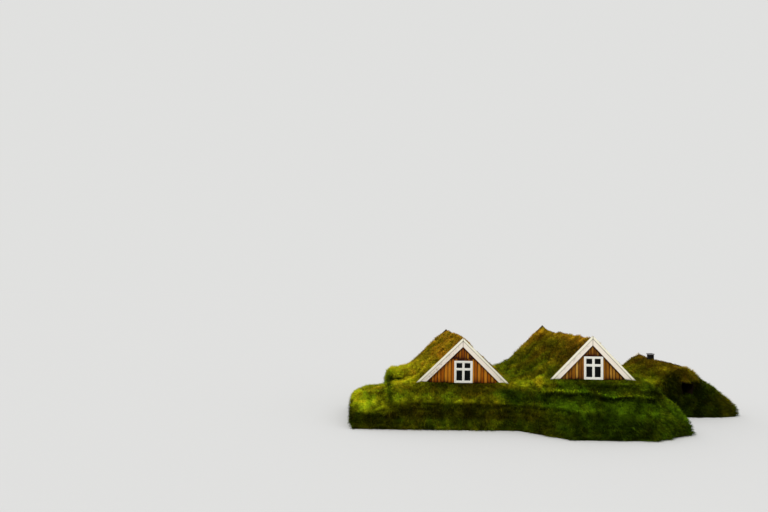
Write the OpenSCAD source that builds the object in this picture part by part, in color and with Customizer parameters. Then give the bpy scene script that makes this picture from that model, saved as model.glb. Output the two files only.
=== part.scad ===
// Turf farmhouse: two gabled houses and a lower kitchen side by side, sharing thick turf walls.
// The front (-Y) is the uphill side, with two short gables above a turf bank.
// The back (+Y) is the downhill side, with full timber fronts and the doors.

/* [Left house] */
// Half of the width over the barge boards
left_half = 2310; // [2200:10:2500]
// Height of the wall top that the roof springs from
left_eave = 1850; // [1800:10:2000]
// Rise from the wall top to the tip of the barge boards
left_rise = 2220; // [2000:10:2400]
// Length over the front and back barge boards
left_length = 6400; // [6000:10:7000]
// How far the turf ridge stands above the straight line between the barge tips
left_ridge_swell = 20; // [0:10:120]

/* [Right house] */
// Half of the width over the barge boards
right_half = 2030; // [1900:10:2200]
// Height of the wall top that the roof springs from
right_eave = 2340; // [2250:10:2450]
// Rise from the wall top to the tip of the barge boards
right_rise = 2070; // [1900:10:2200]
// Length over the front and back barge boards
right_length = 7900; // [7600:10:8400]
// How far the turf ridge sags below the straight line between the barge tips
right_ridge_sag = 180; // [0:10:190]

/* [Kitchen] */
// Half of the width over its roof
kitchen_half = 2080; // [2000:10:2200]
// Height of the wall top that the roof springs from
kitchen_eave = 1300; // [1250:10:1400]
// Rise from the wall top to the tip of the back barge boards
kitchen_rise = 1540; // [1460:10:1640]
// Length from the front turf gable to the back barge boards
kitchen_length = 4500; // [4300:10:4800]
// How far the turf ridge sags below the tip of the back barge boards
kitchen_ridge_sag = 130; // [0:10:160]
// How far the turf drops at the open front end
kitchen_front_drop = 130; // [20:10:140]
// How far the roof turf hangs out over the turf gable
kitchen_brow = 110; // [60:10:180]

/* [Turf walls] */
// Width of the wall top outside the left roof
left_wall_top = 1240; // [1100:10:1600]
// Height of the left wall at its outer edge
left_wall_high = 1560; // [1500:10:1700]
// Height of the step on the left wall, where its front part ends
left_wall_step = 200; // [100:10:300]
// How far the left wall's crest stands above the top of that step
left_wall_crest = 190; // [100:10:300]
// How far the left wall's top falls from the crest to its back end
left_wall_fall = 330; // [200:10:400]
// Width of the wall top between the left and the right roof
left_valley = 1590; // [1400:10:1900]
// How far the middle of that wall top sinks behind the front wall
valley_sink = 150; // [0:10:220]
// Width of the wall top between the right roof and the kitchen's
right_valley = 1855; // [1700:5:2200]
// Width of the turf slope on the right of the right house, in front of the kitchen
right_bank_width = 2300; // [2000:10:2320]
// Width of the slope outside the kitchen roof
kitchen_slope_width = 1200; // [1050:10:1500]
// How far the outer side of the left wall leans in
wall_batter = 160; // [100:10:260]
// Thickness of the front walls behind the face of the barge boards
front_wall_inside = 450; // [400:10:600]
// Thickness of the kitchen's front turf gable
kitchen_front_thick = 1150; // [900:10:1300]
// How far slumped turf reaches out at the foot of the kitchen's front
kitchen_apron = 420; // [200:10:700]
// Height of that slumped turf against the wall
kitchen_apron_high = 820; // [500:10:900]

/* [Banks] */
// Depth of the bank in front of the barge boards
bank_depth = 1850; // [1600:10:2200]
// Height of the bank's face in front of the left house
left_bank_face = 1230; // [1100:10:1300]
// Height of the bank's face in front of the right house
right_bank_face = 850; // [700:10:1000]
// Height of the slopes where they run out at the ends
bank_end_high = 450; // [350:10:550]
// Width of the low bank outside the left wall
left_bank_width = 1910; // [1500:10:2200]
// Height of the low bank's top next to its rounded left shoulder
left_bank_high = 1310; // [1200:10:1320]
// How far its top rises from there to the left wall
left_bank_rise = 150; // [60:10:170]
// Size of the round on the low bank's left shoulder
bank_round = 420; // [300:10:600]
// How far the low bank falls towards its back end
left_bank_fall = 200; // [100:10:400]
// Length of the low bank behind the line of the left barge boards
left_bank_back = 3000; // [2400:10:3600]

/* [Tussocks] */
// Distance between the main tussocks that the turf grows into
tussock_wide = 900; // [800:10:1300]
// How far a tussock stands out of the roof turf
roof_tussock = 95; // [40:5:110]
// How far a tussock stands out of the walls and banks
bank_tussock = 70; // [30:5:90]
// Greatest length of turf between two sections of the surface
section_step = 330; // [280:10:500]

/* [Roof layers] */
// Thickness of the roof turf, square to the slope
turf_thick = 260; // [220:10:280]
// How far the turf swells out halfway down the kitchen's slopes
kitchen_bulge = 110; // [40:10:140]
// How far the turf swells out halfway down the slopes of the two houses
house_bulge = 25; // [0:5:60]
// Thickness of the roof boarding
board_thick = 25; // [20:1:32]
// Depth of a rafter, square to the slope
rafter_deep = 120; // [100:5:140]
// Width of a rafter
rafter_wide = 70; // [60:5:90]
// Pairs of rafters in the left house
left_rafter_pairs = 6; // [5:1:7]
// Pairs of rafters in the right house
right_rafter_pairs = 7; // [6:1:8]
// Pairs of rafters in the kitchen
kitchen_rafter_pairs = 3; // [3:1:4]
// Height of the collar beams above the wall top
collar_up = 820; // [700:10:900]

/* [Barge boards] */
// Whole width of the barge boards, square to the slope
barge_wide = 355; // [320:5:380]
// Width of the upper strip laid on the face
strip_wide = 125; // [90:5:140]
// Thickness of the barge board
barge_thick = 32; // [25:1:40]
// Thickness of the upper strip
strip_thick = 25; // [20:1:30]

/* [Gables] */
// Distance from the face of the barge boards back to the wall boards
gable_setback = 130; // [110:5:200]
// Thickness of the wall boards
wall_board = 28; // [22:1:34]
// Depth of the studs and rails behind the boards
stud_deep = 75; // [60:5:90]
// Width of the studs and rails
stud_wide = 90; // [70:5:110]
// Height of the upper course's lower edge above the wall top
course_up = 1190; // [1160:5:1240]
// How far the upper course laps over the lower
course_lap = 60; // [40:5:80]

/* [Windows] */
// Width over the window casing
window_wide = 915; // [860:5:940]
// Height over the window casing
window_high = 1085; // [1030:5:1140]
// How far the left house's front window stands right of the ridge line
left_window_offset = 40; // [0:5:80]
// How far the right house's front window stands right of the ridge line
right_window_offset = 60; // [0:5:80]
// Width of the casing round the panes
casing_wide = 110; // [100:5:140]
// Width of the middle post and the cross bar
bar_wide = 115; // [100:5:150]
// Height of the upper panes
upper_pane_high = 250; // [200:5:280]
// Thickness of the casing in front of the wall boards
casing_proud = 45; // [30:1:60]
// Thickness of the panes
glass_thick = 4; // [3:1:6]

/* [Doors] */
// Width of the doorways in the left and right houses
door_wide = 780; // [720:10:860]
// Height of the doorways in the left and right houses
door_high = 1640; // [1560:10:1680]
// Width of the kitchen's doorway
kitchen_door_wide = 700; // [650:10:760]
// Height of the kitchen's doorway
kitchen_door_high = 1500; // [1400:10:1560]
// Thickness of a door's planks
door_thick = 36; // [30:1:42]
// Thickness of the sill under a door
sill_high = 110; // [90:5:130]

/* [Kitchen hatch] */
// Width of the hatch under its lintel
hatch_wide = 760; // [680:10:820]
// Width of the hatch at its sill
hatch_sill_wide = 500; // [440:10:560]
// Height of the hatch's sill above the base
hatch_sill = 1040; // [980:10:1060]
// How far the hatch reaches to the right of the ridge line
hatch_reach = 860; // [760:10:900]
// Turf left between the lintel's upper corner and the roof boarding
hatch_cover = 24; // [20:2:60]
// Thickness of the lintel beams
lintel_high = 50; // [40:5:60]
// How far the lintel beams bear on the turf at each side
lintel_bearing = 60; // [50:5:70]

/* [Chimney] */
// Outside width of the square chimney
chimney_wide = 280; // [260:10:360]
// Height of its top above the tip of the kitchen's barge boards
chimney_up = 95; // [60:5:200]
// Distance from the back barge boards to its middle
chimney_from_back = 1400; // [1300:10:1500]
// How far its middle stands right of the ridge
chimney_offset = 60; // [0:5:100]
// Thickness of its boards
chimney_board = 22; // [20:1:28]
// Height of the cap strips round its top
cap_high = 60; // [50:5:80]

/* [Floors] */
// Height of the joists
joist_high = 80; // [70:5:95]
// Thickness of the floor boards
floor_board = 30; // [25:1:35]

/* [Hidden] */

turf_colour = "olivedrab";
timber_colour = "peru";
white_colour = "whitesmoke";
glass_colour = "darkslategray";
old_timber_colour = "saddlebrown";
tarred_colour = "dimgray";

// The farm is centred on the origin in plan, and its base lies at z = 0.
whole_width = left_bank_width + left_wall_top + 2 * left_half + left_valley + 2 * right_half
    + right_valley + 2 * kitchen_half + kitchen_slope_width;
whole_depth = right_length + bank_depth;
x_left = -whole_width / 2;
y_back = whole_depth / 2;
wall_x = x_left + left_bank_width;
left_x = wall_x + left_wall_top + left_half;
right_x = left_x + left_half + left_valley + right_half;
kitchen_x = right_x + right_half + right_valley + kitchen_half;

// A house is [ridge x, half width, eave height, rise, length, ridge swell, front drop, bulge, window offset].
LEFT = [left_x, left_half, left_eave, left_rise, left_length, left_ridge_swell, 0, house_bulge,
    left_window_offset];
RIGHT = [right_x, right_half, right_eave, right_rise, right_length, -right_ridge_sag, 0, house_bulge,
    right_window_offset];
KITCHEN = [kitchen_x, kitchen_half, kitchen_eave, kitchen_rise, kitchen_length, -kitchen_ridge_sag,
    kitchen_front_drop, kitchen_bulge, 0];

function ridge_x(h) = h[0];
function half(h) = h[1];
function eave(h) = h[2];
function rise(h) = h[3];
function length(h) = h[4];
function swell(h) = h[5];
function front_drop(h) = h[6];
function bulge(h) = h[7];
function window_offset(h) = h[8];
function front_y(h) = y_back - length(h);
function apex(h) = eave(h) + rise(h);
function pitch(h) = atan(rise(h) / half(h));
// Height over x of the plane that lies a given depth under the roof's outer line, square to the slope
function roof_z(h, x, depth) = apex(h) - abs(x) * rise(h) / half(h) - depth / cos(pitch(h));
// Half width of that plane at a height
function roof_x(h, z, depth) = (roof_z(h, 0, depth) - z) * half(h) / rise(h);
function foot_l(h) = ridge_x(h) - half(h);
function foot_r(h) = ridge_x(h) + half(h);

lining_depth = turf_thick + board_thick;
rafter_depth = lining_depth + rafter_deep;
// A room's side walls stand where the underside of the roof boarding meets the wall top.
function room_half(h) = roof_x(h, eave(h), lining_depth);
function room_l(h) = ridge_x(h) - room_half(h);
function room_r(h) = ridge_x(h) + room_half(h);

// Clearances
ridge_joint = 0.4;
board_fit = 0.3;
leaf_gap = 0.4;
wall_clear = 10;
step_run = 5;
over_cut = 500;

verge = strip_thick + barge_thick;
floor_top = joist_high + floor_board;
plate_wide = 110;
plate_high = 100;
plate_drop = 40;
post_wide = 95;
brow = 90;
face_batter = 150;
face_dip = 120;
bend_run = 300;
end_set_back = 1300;
top_sag = 100;
split_run = 250;
ridge_round = 15;
flue_below = 120;
rafter_inset = 70;
collar_high = 110;
slope_slump = 350;
slope_front = 0.88;
step_slump = 160;
shoulder = 110;
shoulder_drop = 40;
turf_dip = 10;
joist_wide = 90;
joist_rows = 4;
ledge_high = 110;
ledge_thick = 28;

// Shared shapes

// Extrudes an outline drawn in x and z along y.
module along_y(y0, y1) {
    translate([0, y1, 0]) rotate([90, 0, 0]) linear_extrude(height = y1 - y0) children();
}

// Skins a row of closed sections with the same number of points each.
module loft(sections) {
    n = len(sections[0]);
    last = len(sections) - 1;
    points = [for (s = sections) for (p = s) p];
    sides = [for (i = [0:last - 1]) for (j = [0:n - 1])
        let (k = (j + 1) % n, a = i * n, b = (i + 1) * n)
        each [[a + j, b + j, b + k], [a + j, b + k, a + k]]];
    start = [for (j = [0:n - 1]) j];
    end = [for (j = [n - 1:-1:0]) last * n + j];
    polyhedron(points = points, faces = concat([start], sides, [end]), convexity = 6);
}

function mix(a, b, t) = a + (b - a) * t;
function spread(from, to, steps) = [for (i = [0:steps]) mix(from, to, i / steps)];
function smooth(t) = let (c = min(1, max(0, t))) c * c * (3 - 2 * c);
// A row of places from one to another, no further apart than the step between sections
function stations(from, to) = spread(from, to, ceil((to - from) / section_step));

// Tussocks: a random height from -1 to 1 at each knot of a square net, blended smoothly between the knots
KNOTS = rands(-1, 1, 1024, 5);
function knot(i, j) = KNOTS[(i * 37 + j * 101 + 4 * len(KNOTS)) % len(KNOTS)];
function tussock(x, y) = let (
        i = floor(x / tussock_wide), j = floor(y / tussock_wide),
        a = smooth(x / tussock_wide - i), b = smooth(y / tussock_wide - j))
    mix(mix(knot(i, j), knot(i + 1, j), a), mix(knot(i, j + 1), knot(i + 1, j + 1), a), b);

// Puts a house's front or back at y = 0 with its ridge at x = 0 and the room towards +y.
module at_front(h) {
    translate([ridge_x(h), front_y(h), 0]) children();
}

module at_back(h) {
    translate([ridge_x(h), y_back, 0]) mirror([0, 1, 0]) children();
}

// Turf walls and banks

// Height of the wall tops across the two houses
TOP_LINE = [
    [wall_x, left_wall_high],
    [foot_l(LEFT), left_eave],
    [foot_r(LEFT), left_eave],
    [foot_r(LEFT) + left_valley * 0.5, mix(left_eave, right_eave, 0.35)],
    [foot_l(RIGHT), right_eave],
    [foot_r(RIGHT), right_eave],
    [foot_r(RIGHT) + right_bank_width * 0.2, right_eave - top_sag],
    [foot_r(RIGHT) + right_bank_width * 0.82, mix(right_eave, bank_end_high, 0.62)],
    [foot_r(RIGHT) + right_bank_width, bank_end_high + 2 * top_sag]];
// Height of the low bank on the left
BANK_LINE = [
    [x_left, left_bank_high - bank_round],
    [x_left + bank_round * 0.4, left_bank_high - bank_round * 0.45],
    [x_left + bank_round, left_bank_high - bank_round * 0.16],
    [wall_x, min(left_bank_high + left_bank_rise, left_wall_high - turf_dip)]];
// Height of the bank's face
FACE_LINE = [
    [x_left, bank_end_high],
    [wall_x, left_bank_face - face_dip],
    [foot_l(LEFT), left_bank_face],
    [foot_r(LEFT), left_bank_face + face_dip / 2],
    [foot_l(RIGHT), right_bank_face],
    [foot_r(RIGHT), right_bank_face],
    [foot_r(RIGHT) + right_bank_width, bank_end_high]];
// Where the slope begins, in front of the barge boards
BROW_LINE = [
    [foot_r(LEFT), front_y(LEFT) - brow],
    [foot_l(RIGHT), front_y(RIGHT) - brow],
    [foot_r(RIGHT), front_y(RIGHT) - brow],
    [foot_r(RIGHT) + right_bank_width, front_y(RIGHT) + bend_run]];
// Where the bank's face stands
FACE_PLAN = [
    [x_left, front_y(LEFT) - bank_depth + face_batter],
    [wall_x, front_y(LEFT) - bank_depth + face_batter],
    [foot_r(LEFT), front_y(LEFT) - bank_depth + face_batter],
    [foot_l(RIGHT) + bend_run, front_y(RIGHT) - bank_depth + face_batter],
    [foot_r(RIGHT), front_y(RIGHT) - bank_depth + face_batter],
    [foot_r(RIGHT) + right_bank_width, front_y(RIGHT) - bank_depth + end_set_back]];
// The slope in front: share of the way out, share of the way down
SLOPE = [[0, 0], [0.13, 0.06], [0.24, 0.3], [0.42, 0.42], [0.7, 0.64], [0.93, 0.86], [1, 1]];

function top_z(x) = lookup(x, TOP_LINE);
function bank_z(x) = lookup(x, BANK_LINE);
// The outer side of the left wall leans in by the batter over its height.
function lean_x(z) = wall_x - wall_batter * (1 - z / left_wall_high);

// A section of a front wall in y and z, from its inner foot over the top to the foot of the bank
function front_section(x, inner, top, fall = 0) = let (
        out = lookup(x, BROW_LINE), face = lookup(x, FACE_PLAN), face_top = lookup(x, FACE_LINE))
    concat([[inner, 0], [inner, top - fall]],
        [for (s = SLOPE) let (y = mix(out, face, s[0]))
            [y, mix(top, face_top, s[1]) + bank_tussock * tussock(x, y) * sin(180 * s[0])]],
        [[face - face_batter, 0]]);

function upright(x, section) = [for (p = section) [x, p[0], p[1]]];
function leaning(section) = [for (p = section) [lean_x(p[1]), p[0], p[1]]];
function across(y, section) = [for (p = section) [p[0], y, p[1]]];

left_inner_y = front_y(LEFT) + front_wall_inside;
right_inner_y = front_y(RIGHT) + front_wall_inside;
split_x = foot_l(RIGHT) - split_run;

module left_bank() color(turf_colour) {
    back = front_y(LEFT) + left_bank_back;
    loft(concat(
        [for (x = concat([x_left, x_left + bank_round * 0.4], stations(x_left + bank_round, wall_x - wall_batter)))
            upright(x, front_section(x, back, bank_z(x), left_bank_fall))],
        [leaning(front_section(wall_x, back, bank_z(wall_x), left_bank_fall))]));
}

module left_front_turf_wall() color(turf_colour) {
    rows = concat([mix(wall_x, foot_l(LEFT), 0.35), mix(wall_x, foot_l(LEFT), 0.65)],
        stations(foot_l(LEFT), foot_r(LEFT)), stations(foot_r(LEFT) + section_step, split_x));
    loft(concat(
        [leaning(front_section(wall_x, left_inner_y, left_wall_high))],
        [for (x = rows) upright(x, front_section(x, left_inner_y, top_z(x)))]));
}

module right_front_turf_wall() color(turf_colour) {
    side = [split_x, foot_l(RIGHT), room_l(RIGHT)];
    rest = concat([room_l(RIGHT) + step_run], stations(room_l(RIGHT) + section_step, foot_r(RIGHT)),
        stations(foot_r(RIGHT) + section_step, foot_r(RIGHT) + right_bank_width));
    loft(concat(
        [for (x = side) upright(x, front_section(x, left_inner_y, top_z(x)))],
        [for (x = rest) upright(x, front_section(x, right_inner_y, top_z(x)))]));
}

module left_turf_wall() color(turf_colour) {
    step_y = front_y(LEFT) + 0.37 * left_length;
    crest_y = mix(step_y, y_back, 0.4);
    loft([for (y = [left_inner_y, mix(left_inner_y, step_y, 0.6), step_y, step_y + step_slump,
            mix(step_y, crest_y, 0.6), crest_y, mix(crest_y, y_back, 0.6), y_back])
        let (top = left_wall_high + left_wall_step * smooth((y - step_y) / step_slump)
                + left_wall_crest * smooth((y - step_y) / (crest_y - step_y))
                - left_wall_fall * smooth((y - crest_y) / (y_back - crest_y)))
        across(y, [[lean_x(0), 0], [lean_x(left_wall_high), left_wall_high - shoulder_drop],
            [wall_x + shoulder, top - shoulder_drop], [wall_x + left_wall_top * 0.3, top],
            [wall_x + left_wall_top * 0.7, mix(max(top, left_wall_high), left_eave, 0.5)],
            [foot_l(LEFT), left_eave], [room_l(LEFT), left_eave], [room_l(LEFT), 0]])]);
}

module middle_turf_wall() color(turf_colour) {
    loft([for (y = stations(left_inner_y, y_back))
        let (valley = [for (s = [0.25, 0.5, 0.75]) let (x = foot_r(LEFT) + left_valley * s)
            [x, top_z(x) + (bank_tussock * tussock(x, y)
                - valley_sink * smooth((y - left_inner_y) / left_valley)) * sin(180 * s)]])
        across(y, concat([[room_r(LEFT), 0], [room_r(LEFT), left_eave], [foot_r(LEFT), left_eave]], valley,
            [[foot_l(RIGHT), right_eave], [room_l(RIGHT), right_eave], [room_l(RIGHT), 0]]))]);
}

// Sections of the right wall: in front of the kitchen it slopes down, beside the kitchen it forms a valley.
right_wall_inner = [[room_r(RIGHT), 0], [room_r(RIGHT), right_eave], [foot_r(RIGHT), right_eave]];
function grown(x, y, z, s) = [x, z + bank_tussock * tussock(x, y) * sin(180 * s)];
function open_section(y) = concat(right_wall_inner,
    [for (s = [0.2, 0.5, 0.82]) let (x = foot_r(RIGHT) + right_bank_width * s) grown(x, y, top_z(x), s)],
    [for (x = [foot_r(RIGHT) + right_bank_width]) each [[x, top_z(x)], [x, 0]]]);
function valley_section(y) = concat(right_wall_inner,
    [for (s = [[0.3, 0.2], [0.7, 0.7]]) grown(mix(foot_r(RIGHT), foot_l(KITCHEN), s[0]), y,
        mix(right_eave, kitchen_eave, s[1]), s[0])],
    [[foot_l(KITCHEN), kitchen_eave], [room_l(KITCHEN), kitchen_eave], [room_l(KITCHEN), 0]]);

module right_turf_wall() color(turf_colour)
    loft(concat([for (y = stations(right_inner_y, front_y(KITCHEN) - step_run)) across(y, open_section(y))],
        [for (y = stations(front_y(KITCHEN), y_back)) across(y, valley_section(y))]));

// Section of slumped turf against a wall, in y and z: height against the wall, reach at its foot
function apron(high, reach) = [for (p = [[0, 0], [0, 1], [0.25, 0.8], [0.6, 0.42], [0.85, 0.16], [1, 0]])
    [-reach * p[0], high * p[1]]];

module kitchen_turf_wall() color(turf_colour) {
    front = front_y(KITCHEN);
    loft([for (y = [front, front + slope_slump, mix(front, y_back, 0.5), y_back])
        let (full = y > front ? 1 : slope_front, width = kitchen_slope_width * full)
        across(y, [[room_r(KITCHEN), 0], [room_r(KITCHEN), kitchen_eave], [foot_r(KITCHEN), kitchen_eave],
            [foot_r(KITCHEN) + width * 0.4, mix(kitchen_eave, bank_end_high, 0.38) * full],
            [foot_r(KITCHEN) + width * 0.95, bank_end_high * full],
            [foot_r(KITCHEN) + width, 0]])]);
    end = foot_r(KITCHEN) + kitchen_slope_width * slope_front * 0.9;
    loft([for (t = [0, 0.45, 0.8, 1])
        let (full = 1 - smooth(t) * 0.7)
        upright(mix(room_r(KITCHEN), end, t),
            [for (p = apron(kitchen_apron_high * full, kitchen_apron * full)) [front + p[0], p[1]]])]);
}

module kitchen_front_turf_wall() color(turf_colour) at_front(KITCHEN) {
    r = room_half(KITCHEN);
    along_y(0, kitchen_front_thick) difference() {
        polygon([[-r, 0], [-r, kitchen_eave], [0, roof_z(KITCHEN, 0, lining_depth)], [r, kitchen_eave], [r, 0]]);
        hatch_outline();
        hatch_lintel_outline();
    }
    translate([-r, 0, 0]) rotate([90, 0, 90]) linear_extrude(height = 2 * r)
        polygon(apron(kitchen_apron_high, kitchen_apron));
}

// Roofs

// One slope of roof turf; side is -1 for the left slope and 1 for the right.
module turf_slope(h, side) {
    y0 = h == KITCHEN ? -kitchen_brow : verge;
    y1 = length(h) - verge;
    shares = [1, 0.89, 0.77, 0.65, 0.53, 0.41, 0.29, 0.17, 0.05];
    foot = roof_x(h, eave(h), turf_thick);
    steps = ceil((y1 - y0) / section_step);
    sections = [for (t = spread(0, 1, steps)) let (
            y = mix(y0, y1, t),
            open_front = front_drop(h) > 0,
            body = open_front ? 1 - pow(t, 8) : pow(sin(180 * t), 0.5),
            drop = front_drop(h) * (1 - smooth(t * 5)),
            lift = swell(h) * body - drop,
            high = roof_tussock * (open_front ? body * smooth(t * 4) : smooth(t * steps / 3) * smooth((1 - t) * steps / 3)),
            outer = [for (s = shares) let (x = half(h) * s)
                [x, s == 1 ? eave(h)
                    : roof_z(h, x, 0) + lift * (1 - s * s) + high * tussock(ridge_x(h) + x * side, y)
                        - (turf_dip - bulge(h) * body) * sin(180 * s)]],
            inner = [[ridge_joint / 2, roof_z(h, 0, turf_thick)], [foot, eave(h)]],
            top = apex(h) + lift + high * tussock(ridge_x(h), y) - ridge_round,
            ring = concat(outer, [[ridge_joint / 2, top]], inner))
        across(y, side < 0 ? [for (p = ring) [-p[0], p[1]]] : [for (i = [len(ring) - 1:-1:0]) ring[i]])];
    at_front(h) loft(sections);
}

module roof_turf(h) color(turf_colour) {
    turf_slope(h, -1);
    turf_slope(h, 1);
}

// A flat layer of one slope between two depths, from the ridge down to a height
module slope_outline(h, from, to, low, inset) {
    polygon([[inset, roof_z(h, inset, from)], [roof_x(h, low, from), low], [roof_x(h, low, to), low],
        [inset, roof_z(h, inset, to)]]);
}

module both_sides() {
    children();
    mirror([1, 0, 0]) children();
}

module roof_boards(h) color(old_timber_colour) at_front(h) {
    both_sides() along_y(h == KITCHEN ? 0 : verge, length(h) - verge)
        slope_outline(h, turf_thick, lining_depth, eave(h), ridge_joint / 2);
}

function plate_top(h) = eave(h) - plate_drop;
function frame_start(h) = (h == KITCHEN ? kitchen_front_thick : front_wall_inside) + wall_clear;
frame_end_inset = gable_setback + wall_board + stud_deep + wall_clear;
function frame_end(h) = length(h) - frame_end_inset;
function rafter_rows(h, pairs) = spread(frame_start(h) + rafter_inset, frame_end(h) - rafter_inset, pairs - 1);

// A rafter: its foot is cut upright against the wall and level on the plate.
module rafter_outline(h) {
    wall = room_half(h) - wall_clear;
    polygon([[ridge_joint, roof_z(h, ridge_joint, lining_depth + board_fit)],
        [wall, roof_z(h, wall, lining_depth + board_fit)], [wall, plate_top(h)],
        [roof_x(h, plate_top(h), rafter_depth), plate_top(h)],
        [ridge_joint, roof_z(h, ridge_joint, rafter_depth)]]);
}

module rafters(h, pairs) color(old_timber_colour) at_front(h) {
    collar_z = eave(h) + collar_up * rise(h) / left_rise;
    collar_half = roof_x(h, collar_z + collar_high, rafter_depth) - board_fit;
    for (y = rafter_rows(h, pairs)) {
        both_sides() along_y(y - rafter_wide / 2, y + rafter_wide / 2) rafter_outline(h);
        along_y(y - rafter_wide / 2, y + rafter_wide / 2) polygon([
            [-collar_half, collar_z + collar_high], [collar_half, collar_z + collar_high],
            [roof_x(h, collar_z, rafter_depth) - board_fit, collar_z],
            [board_fit - roof_x(h, collar_z, rafter_depth), collar_z]]);
    }
}

// Plates along the walls on posts that stand on the floor, or on the ground in the kitchen
module wall_frame(h, posts, foot_z) color(old_timber_colour) at_front(h) {
    outer = room_half(h) - wall_clear;
    both_sides() {
        translate([outer - plate_wide, frame_start(h), plate_top(h) - plate_high])
            cube([plate_wide, frame_end(h) - frame_start(h), plate_high]);
        for (y = spread(frame_start(h), frame_end(h) - post_wide, posts - 1))
            translate([outer - post_wide, y, foot_z])
                cube([post_wide, post_wide, plate_top(h) - plate_high - foot_z]);
    }
}

module floor_of(h) color(timber_colour) at_front(h) {
    wide = 2 * (room_half(h) - wall_clear / 2);
    y0 = front_wall_inside + wall_clear / 2;
    y1 = length(h) - gable_setback - wall_board - stud_deep - board_fit;
    translate([-wide / 2, y0, joist_high]) cube([wide, y1 - y0, floor_board]);
    for (x = spread(-wide / 2, wide / 2 - joist_wide, joist_rows - 1))
        translate([x, y0, 0]) cube([joist_wide, y1 - y0, joist_high]);
}

// Gables, barge boards, windows and doors

// The casing laps over the wall boards all round the hole.
casing_over = casing_wide * 0.4;

module window_hole_outline(h, offset, grow) {
    translate([offset - window_wide / 2 + casing_over - grow, eave(h) + casing_over - grow])
        square([window_wide - 2 * casing_over + 2 * grow, window_high - 2 * casing_over + 2 * grow]);
}

// The outline of a gable's boards from a height up to the underside of the roof boards
module gable_outline(h, low) {
    foot = room_half(h) - board_fit * 2;
    top = roof_z(h, 0, lining_depth) - board_fit * 2;
    polygon([[-foot, low], [-foot, eave(h)], [0, top], [foot, eave(h)], [foot, low]]);
}

module band(h, from, to) {
    translate([-half(h), from]) square([2 * half(h), to - from]);
}

// Stud lines on both sides of the window and the door
module stud_outline(h, low, offset) {
    translate([offset, 0]) both_sides()
        translate([window_wide / 2 - casing_over + 1, low]) square([stud_wide, apex(h) - low]);
}

module gable_boards(h, low, offset) {
    course = eave(h) + course_up * rise(h) / left_rise;
    lap = course + course_lap;
    along_y(gable_setback, gable_setback + wall_board) intersection() {
        gable_outline(h, low);
        band(h, low, lap);
    }
    along_y(gable_setback - wall_board, gable_setback) intersection() {
        gable_outline(h, low);
        band(h, course, apex(h));
    }
    along_y(gable_setback + wall_board, gable_setback + wall_board + stud_deep) intersection() {
        gable_outline(h, low);
        union() {
            band(h, course, course + stud_wide);
            stud_outline(h, low, offset);
        }
    }
    along_y(gable_setback, gable_setback + wall_board) intersection() {
        gable_outline(h, low);
        band(h, lap, apex(h));
        union() {
            band(h, course, course + stud_wide);
            stud_outline(h, low, offset);
        }
    }
}

module front_gable(h) color(timber_colour) at_front(h) {
    difference() {
        gable_boards(h, eave(h), window_offset(h));
        along_y(0, gable_setback * 3) window_hole_outline(h, window_offset(h), 0);
    }
}

module back_gable(h, wide, high, has_window) color(timber_colour) at_back(h) {
    difference() {
        gable_boards(h, 0, 0);
        if (has_window) along_y(0, gable_setback * 3) window_hole_outline(h, 0, 0);
        translate([-wide / 2, 0, sill_high]) cube([wide, gable_setback * 3, high]);
    }
}

module barge_pair(h) {
    both_sides() {
        along_y(0, strip_thick) slope_outline(h, 0, strip_wide, eave(h), ridge_joint / 2);
        along_y(strip_thick, verge) slope_outline(h, 0, barge_wide, eave(h), ridge_joint / 2);
    }
}

module front_barge_boards(h) color(white_colour) at_front(h) barge_pair(h);

module back_barge_boards(h) color(white_colour) at_back(h) barge_pair(h);

// The four panes: the two upper ones are low, the two lower ones tall.
pane_wide = (window_wide - 2 * casing_wide - bar_wide) / 2;
lower_pane_high = window_high - 2 * casing_wide - bar_wide - upper_pane_high;

module panes_outline(h, offset, shrink) {
    for (x = [offset - bar_wide / 2 - pane_wide, offset + bar_wide / 2]) {
        translate([x + shrink, eave(h) + casing_wide + shrink])
            square([pane_wide - 2 * shrink, lower_pane_high - 2 * shrink]);
        translate([x + shrink, eave(h) + casing_wide + lower_pane_high + bar_wide + shrink])
            square([pane_wide - 2 * shrink, upper_pane_high - 2 * shrink]);
    }
}

module window_frame(h, offset) color(white_colour) {
    difference() {
        union() {
            along_y(gable_setback - casing_proud, gable_setback)
                translate([offset - window_wide / 2, eave(h)]) square([window_wide, window_high]);
            along_y(gable_setback, gable_setback + wall_board) window_hole_outline(h, offset, -board_fit);
        }
        along_y(0, gable_setback * 3) panes_outline(h, offset, 0);
    }
}

module panes(h, offset) color(glass_colour) {
    along_y(gable_setback - glass_thick, gable_setback) panes_outline(h, offset, board_fit);
}

module door_leaf(h, wide, high) color(timber_colour) at_back(h) {
    inner = gable_setback + door_thick;
    leaf = wide - 2 * leaf_gap;
    translate([-leaf / 2, gable_setback, sill_high + leaf_gap]) cube([leaf, door_thick, high - 2 * leaf_gap]);
    for (z = [0.12, 0.8])
        translate([-leaf / 2 + ledge_high / 2, inner, sill_high + high * z])
            cube([leaf - ledge_high, ledge_thick, ledge_high]);
}

// Kitchen hatch and chimney

hatch_offset = hatch_reach - hatch_wide / 2;
hatch_top = roof_z(KITCHEN, hatch_reach + lintel_bearing, lining_depth) - hatch_cover - lintel_high;
jamb_thick = 25;

module hatch_outline() {
    translate([hatch_offset, 0]) polygon([[-hatch_sill_wide / 2, hatch_sill], [-hatch_wide / 2, hatch_top],
        [hatch_wide / 2, hatch_top], [hatch_sill_wide / 2, hatch_sill]]);
}

module hatch_lintel_outline() {
    translate([hatch_offset - hatch_wide / 2 - lintel_bearing, hatch_top])
        square([hatch_wide + 2 * lintel_bearing, lintel_high]);
}

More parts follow.
